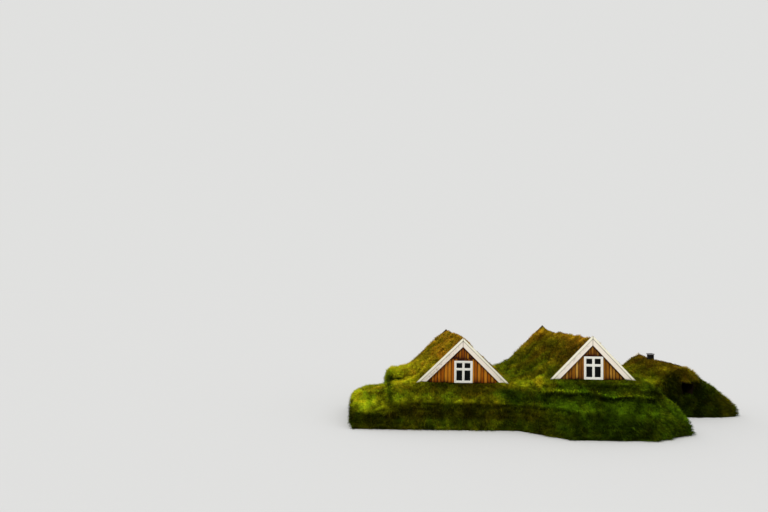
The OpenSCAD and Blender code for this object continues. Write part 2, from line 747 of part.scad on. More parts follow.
module kitchen_hatch_frame() color(old_timber_colour) at_front(KITCHEN) {
    beams = 3;
    pitch_y = kitchen_front_thick / beams;
    for (i = [0:beams - 1])
        translate([hatch_offset - hatch_wide / 2 - lintel_bearing + board_fit, i * pitch_y + board_fit,
            hatch_top + board_fit])
            cube([hatch_wide + 2 * lintel_bearing - 2 * board_fit, pitch_y - 2 * board_fit,
                lintel_high - 2 * board_fit]);
    translate([hatch_offset, 0, 0]) both_sides()
        along_y(board_fit, kitchen_front_thick - board_fit) polygon([
            [hatch_sill_wide / 2 - board_fit, hatch_sill + board_fit],
            [hatch_wide / 2 - board_fit, hatch_top - board_fit],
            [hatch_wide / 2 - jamb_thick, hatch_top - board_fit],
            [hatch_sill_wide / 2 - jamb_thick, hatch_sill + board_fit]]);
}

chimney_top = apex(KITCHEN) + chimney_up;
chimney_foot = roof_z(KITCHEN, 0, rafter_depth) - flue_below;
chimney_x = kitchen_x + chimney_offset;
chimney_y = y_back - chimney_from_back;

module chimney_space(grow) {
    w = chimney_wide / 2 + grow;
    translate([chimney_x - w, chimney_y - w, 0]) cube([2 * w, 2 * w, chimney_top + over_cut]);
}

// Four boards round a square flue
module flue_boards(wide, thick, z0, z1) {
    inner = wide / 2 - thick;
    for (s = [-1, 1]) {
        translate([s > 0 ? inner : -wide / 2, -wide / 2, z0]) cube([thick, wide, z1 - z0]);
        translate([-inner + ridge_joint, s > 0 ? inner : -wide / 2, z0])
            cube([2 * inner - 2 * ridge_joint, thick, z1 - z0]);
    }
}

module kitchen_chimney() color(tarred_colour) translate([chimney_x, chimney_y, 0]) {
    flue_boards(chimney_wide, chimney_board, chimney_foot, chimney_top);
    flue_boards(chimney_wide + 2 * chimney_board + 2 * ridge_joint, chimney_board, chimney_top - cap_high, chimney_top);
}

module kitchen_roof_turf() color(turf_colour) difference() {
    roof_turf(KITCHEN);
    chimney_space(board_fit);
}

module kitchen_roof_boards() difference() {
    roof_boards(KITCHEN);
    chimney_space(board_fit);
}

module kitchen_rafters() rafters(KITCHEN, kitchen_rafter_pairs);

// Drawing of the chosen piece

left_turf_wall();
middle_turf_wall();
right_turf_wall();
kitchen_turf_wall();
left_bank();
left_front_turf_wall();
right_front_turf_wall();
kitchen_front_turf_wall();
roof_turf(LEFT);  // left_roof_turf
roof_turf(RIGHT);  // right_roof_turf
kitchen_roof_turf();
roof_boards(LEFT);  // left_roof_boards
roof_boards(RIGHT);  // right_roof_boards
kitchen_roof_boards();
rafters(LEFT, left_rafter_pairs);  // left_rafters
rafters(RIGHT, right_rafter_pairs);  // right_rafters
kitchen_rafters();
wall_frame(LEFT, 4, floor_top);  // left_wall_frame
wall_frame(RIGHT, 5, floor_top);  // right_wall_frame
wall_frame(KITCHEN, 3, 0);  // kitchen_wall_frame
floor_of(LEFT);  // left_floor
floor_of(RIGHT);  // right_floor
front_gable(LEFT);  // left_front_gable
front_gable(RIGHT);  // right_front_gable
back_gable(LEFT, door_wide, door_high, true);  // left_back_gable
back_gable(RIGHT, door_wide, door_high, true);  // right_back_gable
back_gable(KITCHEN, kitchen_door_wide, kitchen_door_high, false);  // kitchen_back_gable
front_barge_boards(LEFT);  // left_front_barge_boards
front_barge_boards(RIGHT);  // right_front_barge_boards
back_barge_boards(LEFT);  // left_back_barge_boards
back_barge_boards(RIGHT);  // right_back_barge_boards
back_barge_boards(KITCHEN);  // kitchen_back_barge_boards
at_front(LEFT) window_frame(LEFT, window_offset(LEFT));  // left_front_window
at_front(RIGHT) window_frame(RIGHT, window_offset(RIGHT));  // right_front_window
at_back(LEFT) window_frame(LEFT, 0);  // left_back_window
at_back(RIGHT) window_frame(RIGHT, 0);  // right_back_window
at_front(LEFT) panes(LEFT, window_offset(LEFT));  // left_front_glass
at_front(RIGHT) panes(RIGHT, window_offset(RIGHT));  // right_front_glass
at_back(LEFT) panes(LEFT, 0);  // left_back_glass
at_back(RIGHT) panes(RIGHT, 0);  // right_back_glass
door_leaf(LEFT, door_wide, door_high);  // left_door
door_leaf(RIGHT, door_wide, door_high);  // right_door
door_leaf(KITCHEN, kitchen_door_wide, kitchen_door_high);  // kitchen_door
kitchen_hatch_frame();
kitchen_chimney();
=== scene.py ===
import bmesh
import bpy
import numpy as np
from mathutils import Matrix, Vector
from mathutils.bvhtree import BVHTree


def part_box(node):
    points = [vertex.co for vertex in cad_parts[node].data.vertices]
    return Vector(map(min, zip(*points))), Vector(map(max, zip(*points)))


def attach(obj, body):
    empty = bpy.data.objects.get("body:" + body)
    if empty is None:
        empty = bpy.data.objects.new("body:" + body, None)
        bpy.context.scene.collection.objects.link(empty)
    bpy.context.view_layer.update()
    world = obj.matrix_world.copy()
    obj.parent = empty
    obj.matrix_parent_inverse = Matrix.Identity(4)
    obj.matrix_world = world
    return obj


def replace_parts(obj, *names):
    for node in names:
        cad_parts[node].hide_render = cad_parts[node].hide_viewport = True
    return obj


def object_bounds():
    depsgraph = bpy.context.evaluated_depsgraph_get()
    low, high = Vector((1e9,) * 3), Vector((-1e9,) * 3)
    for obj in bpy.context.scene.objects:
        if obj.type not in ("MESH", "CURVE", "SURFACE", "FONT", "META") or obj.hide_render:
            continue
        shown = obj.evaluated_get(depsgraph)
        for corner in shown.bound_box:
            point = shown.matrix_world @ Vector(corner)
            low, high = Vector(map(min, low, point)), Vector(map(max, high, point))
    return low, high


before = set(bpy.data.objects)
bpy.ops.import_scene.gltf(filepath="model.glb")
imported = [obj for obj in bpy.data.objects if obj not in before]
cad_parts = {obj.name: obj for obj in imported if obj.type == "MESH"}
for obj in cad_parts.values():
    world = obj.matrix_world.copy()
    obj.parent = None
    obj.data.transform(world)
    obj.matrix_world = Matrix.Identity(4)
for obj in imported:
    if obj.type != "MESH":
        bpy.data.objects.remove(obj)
cad_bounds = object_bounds()
BODY = "root"
HOUSES = ("left", "right", "kitchen")


def new_object(name, data):
    made = bpy.data.objects.new(name, data)
    bpy.context.scene.collection.objects.link(made)
    return made


# Camera

# Where the camera stands, in metres
EYE = Vector((-9.5575, -29.525, 6.43))
# Focal length of the photograph in its own pixels, and its width
FOCAL_PIXELS = 560
PICTURE_WIDTH = 768
SENSOR_WIDTH = 36
# The farm's depth axis as the camera sees it: pixels to the right, up and towards the viewer
DEPTH_AXIS = Vector((-14, -33, -FOCAL_PIXELS))
# How far uprights lean to the right in the picture, for each pixel up
LEAN = 0.0203
# How far the camera sees, in metres
SIGHT = 500


def make_camera():
    data = bpy.data.cameras.new("view")
    data.sensor_width = SENSOR_WIDTH
    data.lens = FOCAL_PIXELS / PICTURE_WIDTH * SENSOR_WIDTH
    data.clip_end = SIGHT
    ahead = DEPTH_AXIS.normalized()
    up = Vector((LEAN, 1, 0))
    up = (up - up.dot(ahead) * ahead).normalized()
    across = ahead.cross(up)
    camera = new_object("view", data)
    camera.matrix_world = Matrix.Translation(EYE) @ Matrix((across, ahead, up)).to_4x4()
    bpy.context.scene.camera = camera


make_camera()

# Numbers worked out over arrays of points

# After how many cells a random field repeats, and the number of the cell at the origin
FIELD_CELLS = 24
FIELD_START = 100


def smoothstep(low, high, value):
    """t t (3 - 2 t), where t runs from 0 at low to 1 at high."""
    t = np.clip((value - low) / (high - low), 0, 1)
    return t * t * (3 - 2 * t)


def plateau(value, low, full, fading, high):
    """Rises as a smoothstep from 0 at low to 1 at full, and falls as one from 1 at fading to 0 at high."""
    return smoothstep(low, full, value) * smoothstep(high, fading, value)


def lattice(points, size, seed):
    """A smooth random field from -1 to 1: the eight random values at the corners of the cell of that size
    round a point, blended by the smoothstep of the point's place in the cell."""
    table = np.random.default_rng(seed).uniform(-1, 1, (FIELD_CELLS,) * 3)
    place = points / size + FIELD_START
    cell = np.floor(place).astype(int)
    share = smoothstep(0, 1, place - cell)
    total = np.zeros(len(points))
    for corner in np.ndindex(2, 2, 2):
        weight = np.prod(np.where(corner, share, 1 - share), axis=1)
        total += weight * table[tuple(((cell + corner) % FIELD_CELLS).T)]
    return total


def patches(points, fields):
    """The sum of several random fields, each given as its strength, the size of its cells and its seed."""
    return sum(strength * lattice(points, size, seed) for strength, size, seed in fields)


def nearness(points, centre, reach):
    """exp(-r^2), where r is the distance from the centre, divided along each axis by the reach."""
    return np.exp(-((((points - centre) / reach) ** 2).sum(1)))


def unit(ways):
    return ways / np.linalg.norm(ways, axis=1, keepdims=True)


def seeded(name):
    """Random numbers that belong to a name: the seed is the sum of its letters' codes."""
    return np.random.default_rng(sum(map(ord, name)))


# Meshes

# Segments of a rounded edge
ROUND_SEGMENTS = 2


def read(items, key, width, kind=float):
    """One value of each item, as an array with that many numbers in a row."""
    values = np.empty(len(items) * width, kind)
    items.foreach_get(key, values)
    return values.reshape(-1, width)


def mesh_points(mesh):
    return read(mesh.vertices, "co", 3)


def mesh_normals(mesh):
    return read(mesh.vertex_normals, "vector", 3)


def mesh_triangles(mesh):
    mesh.calc_loop_triangles()
    return read(mesh.loop_triangles, "vertices", 3, int)


def mark_points(mesh, name, values):
    """Gives each point a number that the materials read under that name."""
    mark = mesh.attributes.new(name, "FLOAT", "POINT")
    mark.data.foreach_set("value", values.astype(np.float32))


def add_object(name, mesh, finish):
    mesh.materials.append(finish)
    thing = new_object(name, mesh)
    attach(thing, BODY)
    return thing


def round_edges(thing, width):
    edges = thing.modifiers.new("rounded", "BEVEL")
    edges.width = width
    edges.segments = ROUND_SEGMENTS
    edges.limit_method = "ANGLE"


def ring_faces(items, rings, points, closed=False):
    """Quads between neighbouring rings of each item, and a face over both ends unless its rings close."""
    ring = np.arange(rings if closed else rings - 1)
    item, ring, point = np.meshgrid(np.arange(items), ring, np.arange(points), indexing="ij")

    def index(r, p):
        return (item * rings + r % rings) * points + p % points

    around = [index(ring, point), index(ring, point + 1), index(ring + 1, point + 1), index(ring + 1, point)]
    faces = np.stack(around, -1).reshape(-1, 4).tolist()
    if not closed:
        around = np.arange(points)
        for i in range(items):
            first = i * rings * points
            faces.append((first + around[::-1]).tolist())
            faces.append((first + (rings - 1) * points + around).tolist())
    return faces


class Shape:
    """Points and faces of one piece, gathered from several parts. Each part has a random number for its
    tint, and each point says how stained it is, with painted shade, from 0 to 1."""

    def __init__(self, seed):
        self.points, self.faces, self.tints, self.stains = [], [], [], []
        self.rng = np.random.default_rng(seed)

    def add(self, rings, closed=False, stain=0.0):
        """Adds parts of shape (parts, rings, points, 3)."""
        items, count, around = rings.shape[:3]
        start = sum(len(p) for p in self.points)
        self.points.append(rings.reshape(-1, 3))
        self.faces += [[start + k for k in face] for face in ring_faces(items, count, around, closed)]
        self.tints.append(np.repeat(self.rng.random(items), count * around))
        self.stains.append(np.broadcast_to(stain, rings.shape[:3]).ravel())
        return self

    def make(self, name, finish, slot, bevel=0.0):
        mesh = bpy.data.meshes.new(name)
        mesh.from_pydata(np.concatenate(self.points).tolist(), [], self.faces)
        mark_points(mesh, "tint", np.concatenate(self.tints))
        mark_points(mesh, "stain", np.concatenate(self.stains))
        work = bmesh.new()
        work.from_mesh(mesh)
        bmesh.ops.recalc_face_normals(work, faces=work.faces)
        work.to_mesh(mesh)
        work.free()
        thing = add_object(name, mesh, finish)
        if bevel:
            round_edges(thing, bevel)
        return thing


# Finishes

GAMMA = 2.2
BLACK = (0, 0, 0, 1)
WHITE = (1, 1, 1, 1)
# How a pattern is scaled along each axis, so that it is drawn out along upright boards or along the house
GRAIN_UP = (1.0, 1.0, 0.045)
GRAIN_DEEP = (1.0, 0.06, 1.0)
# How strong the streaks, the boards' own tints and the weather marks of timber are
STREAKS = 0.6
BOARD_TINT = 0.36
WEATHERED = 0.5
# Sods laid in a wall: length, height and joint in metres, how light the dark ones and the joints are
SOD_LONG = 0.9
SOD_HIGH = 0.12
SOD_JOINT = 0.012
SOD_DARK = (0.78, 0.78, 0.78, 1)
JOINT_DARK = (0.5, 0.5, 0.5, 1)
# How much lighter the finishes are than the growth looks, since blades shade each other
BLADE_GAIN = 1.75
SOIL_GAIN = 1.45
# How light a blade's root is beside its tip
ROOT_SHADE = 0.6
# The blade map has a band up it for each level of painted light and shade
BLADE_MAP = "OFBake"
BANDS = 8
BAND_DARKEST = 0.2
BAND_STEP = 0.15
# Colours as in the picture, from 0 to 255: growth from the greenest to the driest, stains and grime; the red
# stain also paints shade below barge boards and laps, and the grime paints the shadow below the barge
# boards' strips
PALETTE = [(80, 110, 18), (98, 114, 18), (114, 112, 18), (122, 102, 20), (128, 92, 24)]
RED_STAIN_AND_SHADE = (50, 20, 5)
BARE_DARK = (40, 32, 22)
SOOT = (0, 0, 0)
GRIME_AND_SHADOW = (70, 60, 48)


def colour(shade):
    """A colour given as in the picture, made linear."""
    return (*((np.array(shade) / 255) ** GAMMA), 1.0)


PALETTE_STOPS = [(i / (len(PALETTE) - 1), colour(shade)) for i, shade in enumerate(PALETTE)]


class Nodes:
    """Short calls for the nodes of one tree."""

    def __init__(self, tree):
        self.tree = tree

    def feed(self, socket, value):
        if isinstance(value, bpy.types.NodeSocket):
            self.tree.links.new(value, socket)
        else:
            socket.default_value = value

    def node(self, kind, links=(), **settings):
        made = self.tree.nodes.new("ShaderNode" + kind)
        for key, value in settings.items():
            setattr(made, key, value)
        for key, value in dict(links).items():
            self.feed(made.inputs[key], value)
        return made

    def maths(self, kind, a, b=0.0, c=0.0):
        return self.node("Math", {0: a, 1: b, 2: c}, operation=kind).outputs[0]

    def plus(self, a, b):
        return self.maths("ADD", a, b)

    def times(self, a, b):
        return self.maths("MULTIPLY", a, b)

    def scaled(self, value, factor, offset):
        """The value times the factor, plus the offset."""
        return self.maths("MULTIPLY_ADD", value, factor, offset)

    def place(self, scale=(1, 1, 1)):
        """The point on the piece, with each axis scaled: a small scale draws a pattern out along it."""
        at = self.node("TexCoord").outputs["Object"]
        return self.node("Mapping", {"Vector": at, "Scale": scale}).outputs["Vector"]

    def attribute(self, name):
        return self.node("Attribute", attribute_name=name).outputs["Fac"]

    def noise(self, place, scale, detail=4, rough=0.55, distort=0.0):
        links = {"Vector": place, "Scale": scale, "Detail": detail, "Roughness": rough}
        return self.node("TexNoise", links | {"Distortion": distort}).outputs["Fac"]

    def ramp(self, factor, stops):
        made = self.node("ValToRGB", {"Fac": factor})
        parts = made.color_ramp.elements
        while len(parts) < len(stops):
            parts.new(0.5)
        for part, (position, value) in zip(parts, stops):
            part.position = position
            part.color = value
        return made.outputs["Color"]

    def mask(self, factor, low, high):
        """0 where the factor is below the low value, and 1 where it is above the high one."""
        return self.ramp(factor, [(low, BLACK), (high, WHITE)])

    def mix(self, factor, a, b):
        made = self.node("Mix", {"Factor": factor}, data_type="RGBA")
        self.feed(made.inputs[6], a)
        self.feed(made.inputs[7], b)
        return made.outputs[2]

    def lit(self, value, level):
        """A colour as light as that level from 0 to 1 looks: times the level to the power of 2.2."""
        power = self.maths("POWER", level, GAMMA)
        return self.node("VectorMath", {0: value, "Scale": power}, operation="SCALE").outputs[0]


class Finish(Nodes):
    """A material and its shader."""

    def __init__(self, name, roughness, shine, metal=0.0):
        self.material = bpy.data.materials.new(name)
        self.material.use_nodes = True
        super().__init__(self.material.node_tree)
        self.shader = self.tree.nodes["Principled BSDF"]
        self.shader.inputs["Roughness"].default_value = roughness
        self.shader.inputs["Specular IOR Level"].default_value = shine
        self.shader.inputs["Metallic"].default_value = metal

    def paint(self, value):
        self.feed(self.shader.inputs["Base Color"], value)
        return self

    def bump(self, height, depth, strength):
        made = self.node("Bump", {"Height": height, "Distance": depth, "Strength": strength})
        self.feed(self.shader.inputs["Normal"], made.outputs["Normal"])
        return self


def timber(name, dark, mid, pale, stain_and_shade_colour, grain=GRAIN_UP, roughness=0.6):
    """Boards: fine streaks drawn out along the grain, a tint of its own for each board, dark weather marks,
    and a stain that starts where the board is wet longest and runs out along the grain, whose colour also
    paints the shade below barge boards and laps."""
    made = Finish(name, roughness, shine=0.1)
    along = made.place(grain)
    fine = made.noise(along, scale=95, detail=5, rough=0.6)
    broad = made.noise(along, scale=17, detail=3, rough=0.5, distort=0.6)
    weather = made.noise(made.place((1, 1, 0.3)), scale=3.2, rough=0.6)
    tone = made.scaled(fine, STREAKS, made.scaled(broad, 0.5, -0.28))
    tone = made.scaled(made.attribute("tint"), BOARD_TINT, tone)
    tone = made.scaled(weather, WEATHERED, made.plus(tone, -0.5 * WEATHERED))
    wood = made.ramp(tone, [(0.12, colour(dark)), (0.42, colour(mid)), (0.78, colour(pale))])
    stain_and_shade_run = made.scaled(broad, 0.8, made.plus(made.attribute("stain"), -0.4))
    made.paint(made.mix(made.mask(stain_and_shade_run, 0.1, 0.85), wood, colour(stain_and_shade_colour)))
    return made.bump(made.plus(fine, broad), depth=0.004, strength=0.6).material


def white_paint(name, white, shade):
    """Painted boards: brush streaks, faint weathering, grime where water stands or wood is bare, and painted
    shadow in the grime's colour.
    """
    made = Finish(name, roughness=0.5, shine=0.35)
    weather = made.noise(made.place(), scale=2.6, detail=5, rough=0.65)
    brush = made.noise(made.place((1, 1, 0.5)), scale=60, detail=3)
    clean = made.ramp(made.scaled(brush, 0.25, weather), [(0.34, colour(shade)), (0.58, colour(white))])
    grime_and_shadow = made.scaled(weather, 0.5, made.plus(made.attribute("stain"), -0.3))
    made.paint(made.mix(made.mask(grime_and_shadow, 0.03, 0.92), clean, colour(GRIME_AND_SHADOW)))
    return made.bump(brush, depth=0.002, strength=0.4).material


def turf_soil(name):
    """Low growth between the blades: the palette by the dryness of the place, mottled by moss, made lighter
    and darker by painted light and shade, and in steep faces, where they aren't grown over, the courses of
    long sods that the wall was laid in."""
    made = Finish(name, roughness=0.95, shine=0.0)
    moss = made.noise(made.place(), scale=9, detail=6, rough=0.65)
    fine = made.noise(made.place(), scale=60, rough=0.7)
    dry = made.scaled(moss, 0.5, made.plus(made.attribute("dry"), -0.25))
    split = made.node("SeparateXYZ", {"Vector": made.place()}).outputs
    sag = made.noise(made.place(), scale=1.6, detail=3)
    height = made.scaled(moss, 0.1, made.scaled(sag, 0.35, split["Z"]))
    spot = made.node("CombineXYZ", {"X": made.plus(split["X"], split["Y"]), "Y": height}).outputs["Vector"]
    laid = {"Vector": spot, "Scale": 1.0, "Brick Width": SOD_LONG, "Row Height": SOD_HIGH}
    laid |= {"Mortar Size": SOD_JOINT, "Mortar Smooth": 1.0}
    laid |= {"Color1": SOD_DARK, "Color2": WHITE, "Mortar": JOINT_DARK}
    sods = made.node("TexBrick", laid).outputs["Color"]
    bare = made.mask(made.noise(made.place((1, 1, 1.6)), scale=1.1, rough=0.6), 0.42, 0.6)
    course = made.mix(made.times(bare, made.attribute("steep")), WHITE, sods)
    # The painted light and shade of the place, with its own tone, mottled finely
    level = made.times(made.attribute("light"), made.scaled(fine, 0.7, 0.55))
    level = made.times(made.times(level, SOIL_GAIN), course)
    made.paint(made.lit(made.ramp(dry, PALETTE_STOPS), level))
    rough = made.scaled(course, 1.4, made.plus(moss, fine))
    return made.bump(rough, depth=0.03, strength=0.8).material


def grass(name):
    """Blades: across the map the palette by dryness; up the map a band for each level of painted light and
    shade, and in each band from the shaded root to the lit tip."""
    made = Finish(name, roughness=0.9, shine=0.03)
    split = made.node("SeparateXYZ", {"Vector": made.node("UVMap", uv_map=BLADE_MAP).outputs["UV"]})
    up = made.times(split.outputs["Y"], BANDS)
    light = made.scaled(made.maths("FLOOR", up), BAND_STEP, BAND_DARKEST)
    along = made.scaled(made.maths("FRACT", up), 1 - ROOT_SHADE, ROOT_SHADE)
    level = made.times(light, made.times(along, BLADE_GAIN))
    return made.paint(made.lit(made.ramp(split.outputs["X"], PALETTE_STOPS), level)).material


def dark_glass(name, dark, pale):
    """Panes painted dark as the shaded room behind them looks, with faint ripples."""
    made = Finish(name, roughness=0.05, shine=0.08)
    ripple = made.noise(made.place(), scale=7, detail=2)
    made.paint(made.ramp(ripple, [(0.3, colour(dark)), (0.7, colour(pale))]))
    return made.bump(ripple, depth=0.002, strength=0.25).material


def old_metal(name, dark, pale, roughness, metal):
    """Metal with patches of rust or dirt."""
    made = Finish(name, roughness, 0.4, metal)
    spots = made.noise(made.place(), scale=22, detail=5, rough=0.65)
    made.paint(made.ramp(spots, [(0.35, colour(dark)), (0.7, colour(pale))]))
    return made.bump(spots, depth=0.002, strength=0.5).material


soil = turf_soil("turf soil")
blades = grass("grass blades")
left_boards = timber("varnished boards left", (104, 46, 2), (166, 92, 8), (214, 146, 44), RED_STAIN_AND_SHADE)
right_boards = timber("varnished boards right", (88, 48, 8), (146, 94, 20), (206, 158, 70), RED_STAIN_AND_SHADE)
back_boards = timber("weathered boards", (76, 46, 18), (138, 94, 42), (186, 140, 78), RED_STAIN_AND_SHADE)
door_boards = timber("door boards", (66, 38, 16), (122, 76, 34), (166, 114, 58), RED_STAIN_AND_SHADE)
old_timber = timber("old timber", (50, 38, 26), (92, 72, 50), (136, 112, 82), BARE_DARK, GRAIN_DEEP, 0.8)
floor_timber = timber("floor timber", (84, 62, 40), (140, 110, 74), (178, 150, 110), BARE_DARK, GRAIN_DEEP)
smoked = timber("smoked timber", (20, 14, 8), (34, 24, 14), (54, 38, 22), SOOT, GRAIN_DEEP, 0.85)
tarred = timber("tarred timber", (14, 13, 12), (28, 25, 23), (50, 45, 40), SOOT, GRAIN_UP, 0.75)
# The strip and the board share one white; the board's is a little darker and pinker, as painted shade
strip_white = white_paint("strip white paint", (242, 237, 213), (233, 227, 203))
board_white = white_paint("board white paint", (239, 228, 212), (231, 220, 204))
window_white = white_paint("window white paint", (238, 236, 226), (222, 219, 204))
panes = dark_glass("window panes", (6, 7, 7), (14, 16, 15))
iron = old_metal("black iron", (20, 19, 18), (44, 40, 37), roughness=0.55, metal=0.9)
flashing = old_metal("flashing", (118, 116, 118), (160, 157, 158), roughness=0.6, metal=0.2)

# Turf

TURF = [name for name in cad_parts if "turf" in name or "bank" in name]
TIMBER = [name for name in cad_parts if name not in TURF]
# Size of the cells of the turf's nets, and how far a skin reaches past its solid, so that neighbours overlap
CELL = 0.09
LAP = 0.03
# Distances from timber at which turf starts to move and moves fully, and at which blades start to be longer
# and have their full length
FREE_OF_TIMBER = (0.02, 0.32)
CLEAR_OF_TIMBER = (0.02, 0.3)
# Heights over the base from which turf slumps fully, and from which its lumps stand out fully
SLUMP_FOOT = 0.35
LUMP_FOOT = 0.25
# The share of the way that turf slumps in a round: on the left, in the rest, and where along x it changes
SLUMP_LEFT = 0.5
SLUMP_REST = 0.16
SLUMP_CHANGE = (-7, -5.5)
SLUMP_ROUNDS = 24
# What a slumping point keeps of its way inwards
SLUMP_INWARDS = 0.25
# Distances from the ground at which a skin stops lying on it, and stops moving with it
SKIN_LIES = (0.06, 0.2)
SKIN_MOVES = (0.2, 0.8)
# How far a piece's own growth reaches past it, and the furthest that is counted
GROWTH_BLEND = 0.35
GROWTH_REACH = 1.2
# The upward part of a normal where ground starts to be steep and where it is, and how much painted shade
# darkens it there
STEEP = (0.7, 0.2)
STEEP_SHADE = 0.25
# How much lighter growth is painted for each metre that a tussock swells, which paints shade into the
# hollows between tussocks, and the range of swells that counts
SWELL_LIGHT = 5
SWELL_RANGE = (-0.08, 0.05)
# The range of dryness, from the green end of the palette to the dry one
DRY_RANGE = (0.02, 0.98)
# Random fields, each as strength, size of its cells in metres and seed: tussocks, dry and light growth, and
# how long and how light the blades are
TUSSOCKS = [(0.03, 0.9, 3), (0.045, 0.42, 5), (0.035, 0.21, 7)]
DRY_PATCHES = [(0.14, 1.4, 21), (0.12, 0.45, 22), (0.14, 0.21, 23)]
LIGHT_PATCHES = [(0.1, 0.6, 24), (0.24, 0.22, 25)]
LONG_PATCHES = [(0.4, 0.5, 34)]
TUFT_PATCHES = [(0.25, 0.12, 35)]
# Fields of the way that blades lean, along each axis
LEAN_CELL = 0.6
LEAN_SEEDS = (31, 32, 33)

# The banks in front have treads and ledges where they face the front this much, lie before these y, and
# aren't more level than this
FACES_FRONT = (0.05, 0.5)
LIES_BEFORE = (-0.6, -1.6)
LEVEL = (0.98, 0.8)
# Small treads: their height, how far they stand out, how much painted light and shade lighten their tops and
# darken their feet, where they break off, and how much of the warp they follow
TREAD_HIGH = 0.25
TREAD_DEEP = 0.025
TREAD_SHADING = 0.3
TREAD_BREAKS = (-0.3, 0.3)
TREAD_WARP = 1.6
# Ledges: how far they stand out, over what height, the share of that below the lip, and how much of the
# warp they follow
LEDGE_DEEP = 0.08
LEDGE_HIGH = 0.14
LEDGE_BELOW = 0.6
LEDGE_WARP = 0.6
# How far before its first and after its last point a ledge starts and ends
LEDGE_END = 0.5
# Where the lip gets painted light, over what height, how much lighter its blades are painted there, and how
# much shorter they are
LIP_AT = 0.02
LIP_HIGH = 0.035
LIP_LIT = 1.15
LIP_SHORT = 0.5
# How much painted shade darkens the hollow below the lip, and from where to where it reaches
HOLLOW_SHADE = 0.55
HOLLOW = (-0.3, -0.16, -0.1, -0.03)
# The ledges: how strong, and the line of the lip as x and height
LEDGES = [
    (1.0, [
        (-1.4, 1.84), (0.3, 1.87), (0.95, 1.82), (1.6, 1.65), (2.3, 1.74), (3.0, 1.73), (3.5, 1.65),
        (4.2, 1.56)]),
    (0.5, [(2.7, 2.05), (4.3, 1.95)]),
    (0.35, [(-7.5, 1.5), (-3.2, 1.5)]),
    (0.4, [(-1.8, 1.22), (1.2, 1.18)]),
]

# Tufts on a square metre, and the blades of a tuft: how many, how long, how wide and how far apart
TUFTS = 285
BLADES = 5
BLADE_LONG = 0.15
BLADE_WIDE = 0.014
TUFT_WIDE = 0.018
# The share of their length that blades have close to timber
BLADE_SHORT = 0.35
# How uneven tufts are in height, dryness and light, and blades in length, width, way of growing and bend
TUFT_TALL = (0.75, 1.2)
TUFT_DRY = 0.08
TUFT_LIGHT = (0.7, 1.3)
LENGTHS = (0.65, 1.15)
WIDTHS = (0.7, 1.3)
GROW_UNEVEN = 0.33
BEND_UNEVEN = 0.25
# Triangles with blades: the least upward part of the normal, height of the middle, and area
SOWN_UPWARD = -0.5
SOWN_HEIGHT = 0.03
SOWN_AREA = 1e-6
# Where laid turf shows: the upward part of the normal from which and to which it comes up, the part towards
# the back that it takes, and the share of the tufts that is missing there
LAID_UPWARD = (0.4, 0.1)
LAID_BACKWARD = (-0.5, -0.2)
LAID_BARE = 0.7
# How much a line into the open air is turned up from the way the ground faces, and how far over it it starts
SKYWARD = 0.7
OVER_GROUND = 0.05
# How far blades may stand out of the CAD box, and the lowest height of a blade
BOX_LOW, BOX_HIGH = (np.array(corner) for corner in cad_bounds)
STAND_PROUD = np.array([0.3, 0.2, 0.12])
BLADE_FLOOR = 0.004
# Where a blade's root, shoulders and tip lie on the blade map: across it, and up the band
MAP_ACROSS = np.array([0, 0.004, -0.004, 0])
MAP_UP = np.array([0.06, 0.5, 0.5, 0.94])

# For each piece of turf, from its foot to its top: height, how dry its growth is there, and how light it is
# painted there, as painted light and shade together with the growth's own tone
GROWTH = {
    "left_roof_turf": [(1.85, 0.5, 0.78), (3.0, 0.74, 0.83), (4.0, 0.95, 0.82)],
    "right_roof_turf": [(2.34, 0.47, 0.55), (3.3, 0.66, 0.74), (4.1, 0.95, 0.75), (4.4, 0.9, 0.9)],
    "kitchen_roof_turf": [(1.3, 0.43, 0.85), (2.0, 0.6, 0.66), (2.45, 0.72, 0.5), (2.8, 0.7, 0.5)],
    "left_turf_wall": [(0, 0.4, 0.8), (1.9, 0.56, 1.1)],
    "left_bank": [
        (0.1, 0.3, 0.6), (0.35, 0.4, 0.42), (0.65, 0.4, 0.42), (0.85, 0.4, 0.95), (1.3, 0.4, 0.98)],
    "left_front_turf_wall": [
        (0.45, 0.3, 0.66), (0.62, 0.5, 0.5), (1.17, 0.5, 0.47), (1.25, 0.5, 0.76), (1.4, 0.48, 0.7),
        (1.54, 0.5, 0.5), (1.85, 0.5, 0.45)],
    "middle_turf_wall": [(0, 0.36, 0.7), (2.3, 0.42, 0.62)],
    "right_front_turf_wall": [
        (0.5, 0.1, 0.5), (1.0, 0.05, 0.54), (1.45, 0.02, 0.58), (1.58, 0.08, 0.5), (1.77, 0.15, 0.47),
        (2.3, 0.25, 0.52)],
    "right_turf_wall": [(0, 0.3, 0.5), (2.3, 0.4, 0.6)],
    "kitchen_turf_wall": [(0, 0.4, 0.5), (1.3, 0.45, 0.57)],
    "kitchen_front_turf_wall": [(0, 0.2, 0.3), (1.3, 0.25, 0.3), (2.4, 0.6, 0.42)],
}

HATCH_LOW, HATCH_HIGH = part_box("kitchen_hatch_frame")
HATCH_MIDDLE = (HATCH_LOW.x + HATCH_HIGH.x) / 2


def whole_place(middle, reach, dry, light, longer=1.0, out=0.0):
    """A place with growth of its own, in metres: its middle, its reach along each axis, how dry it is and
    how light it is painted, as painted light and shade with its own tone, how long its blades are beside the
    rest, which hang where that is more than 1, and how far the ground stands out."""
    return middle, reach, dry, light, longer, out


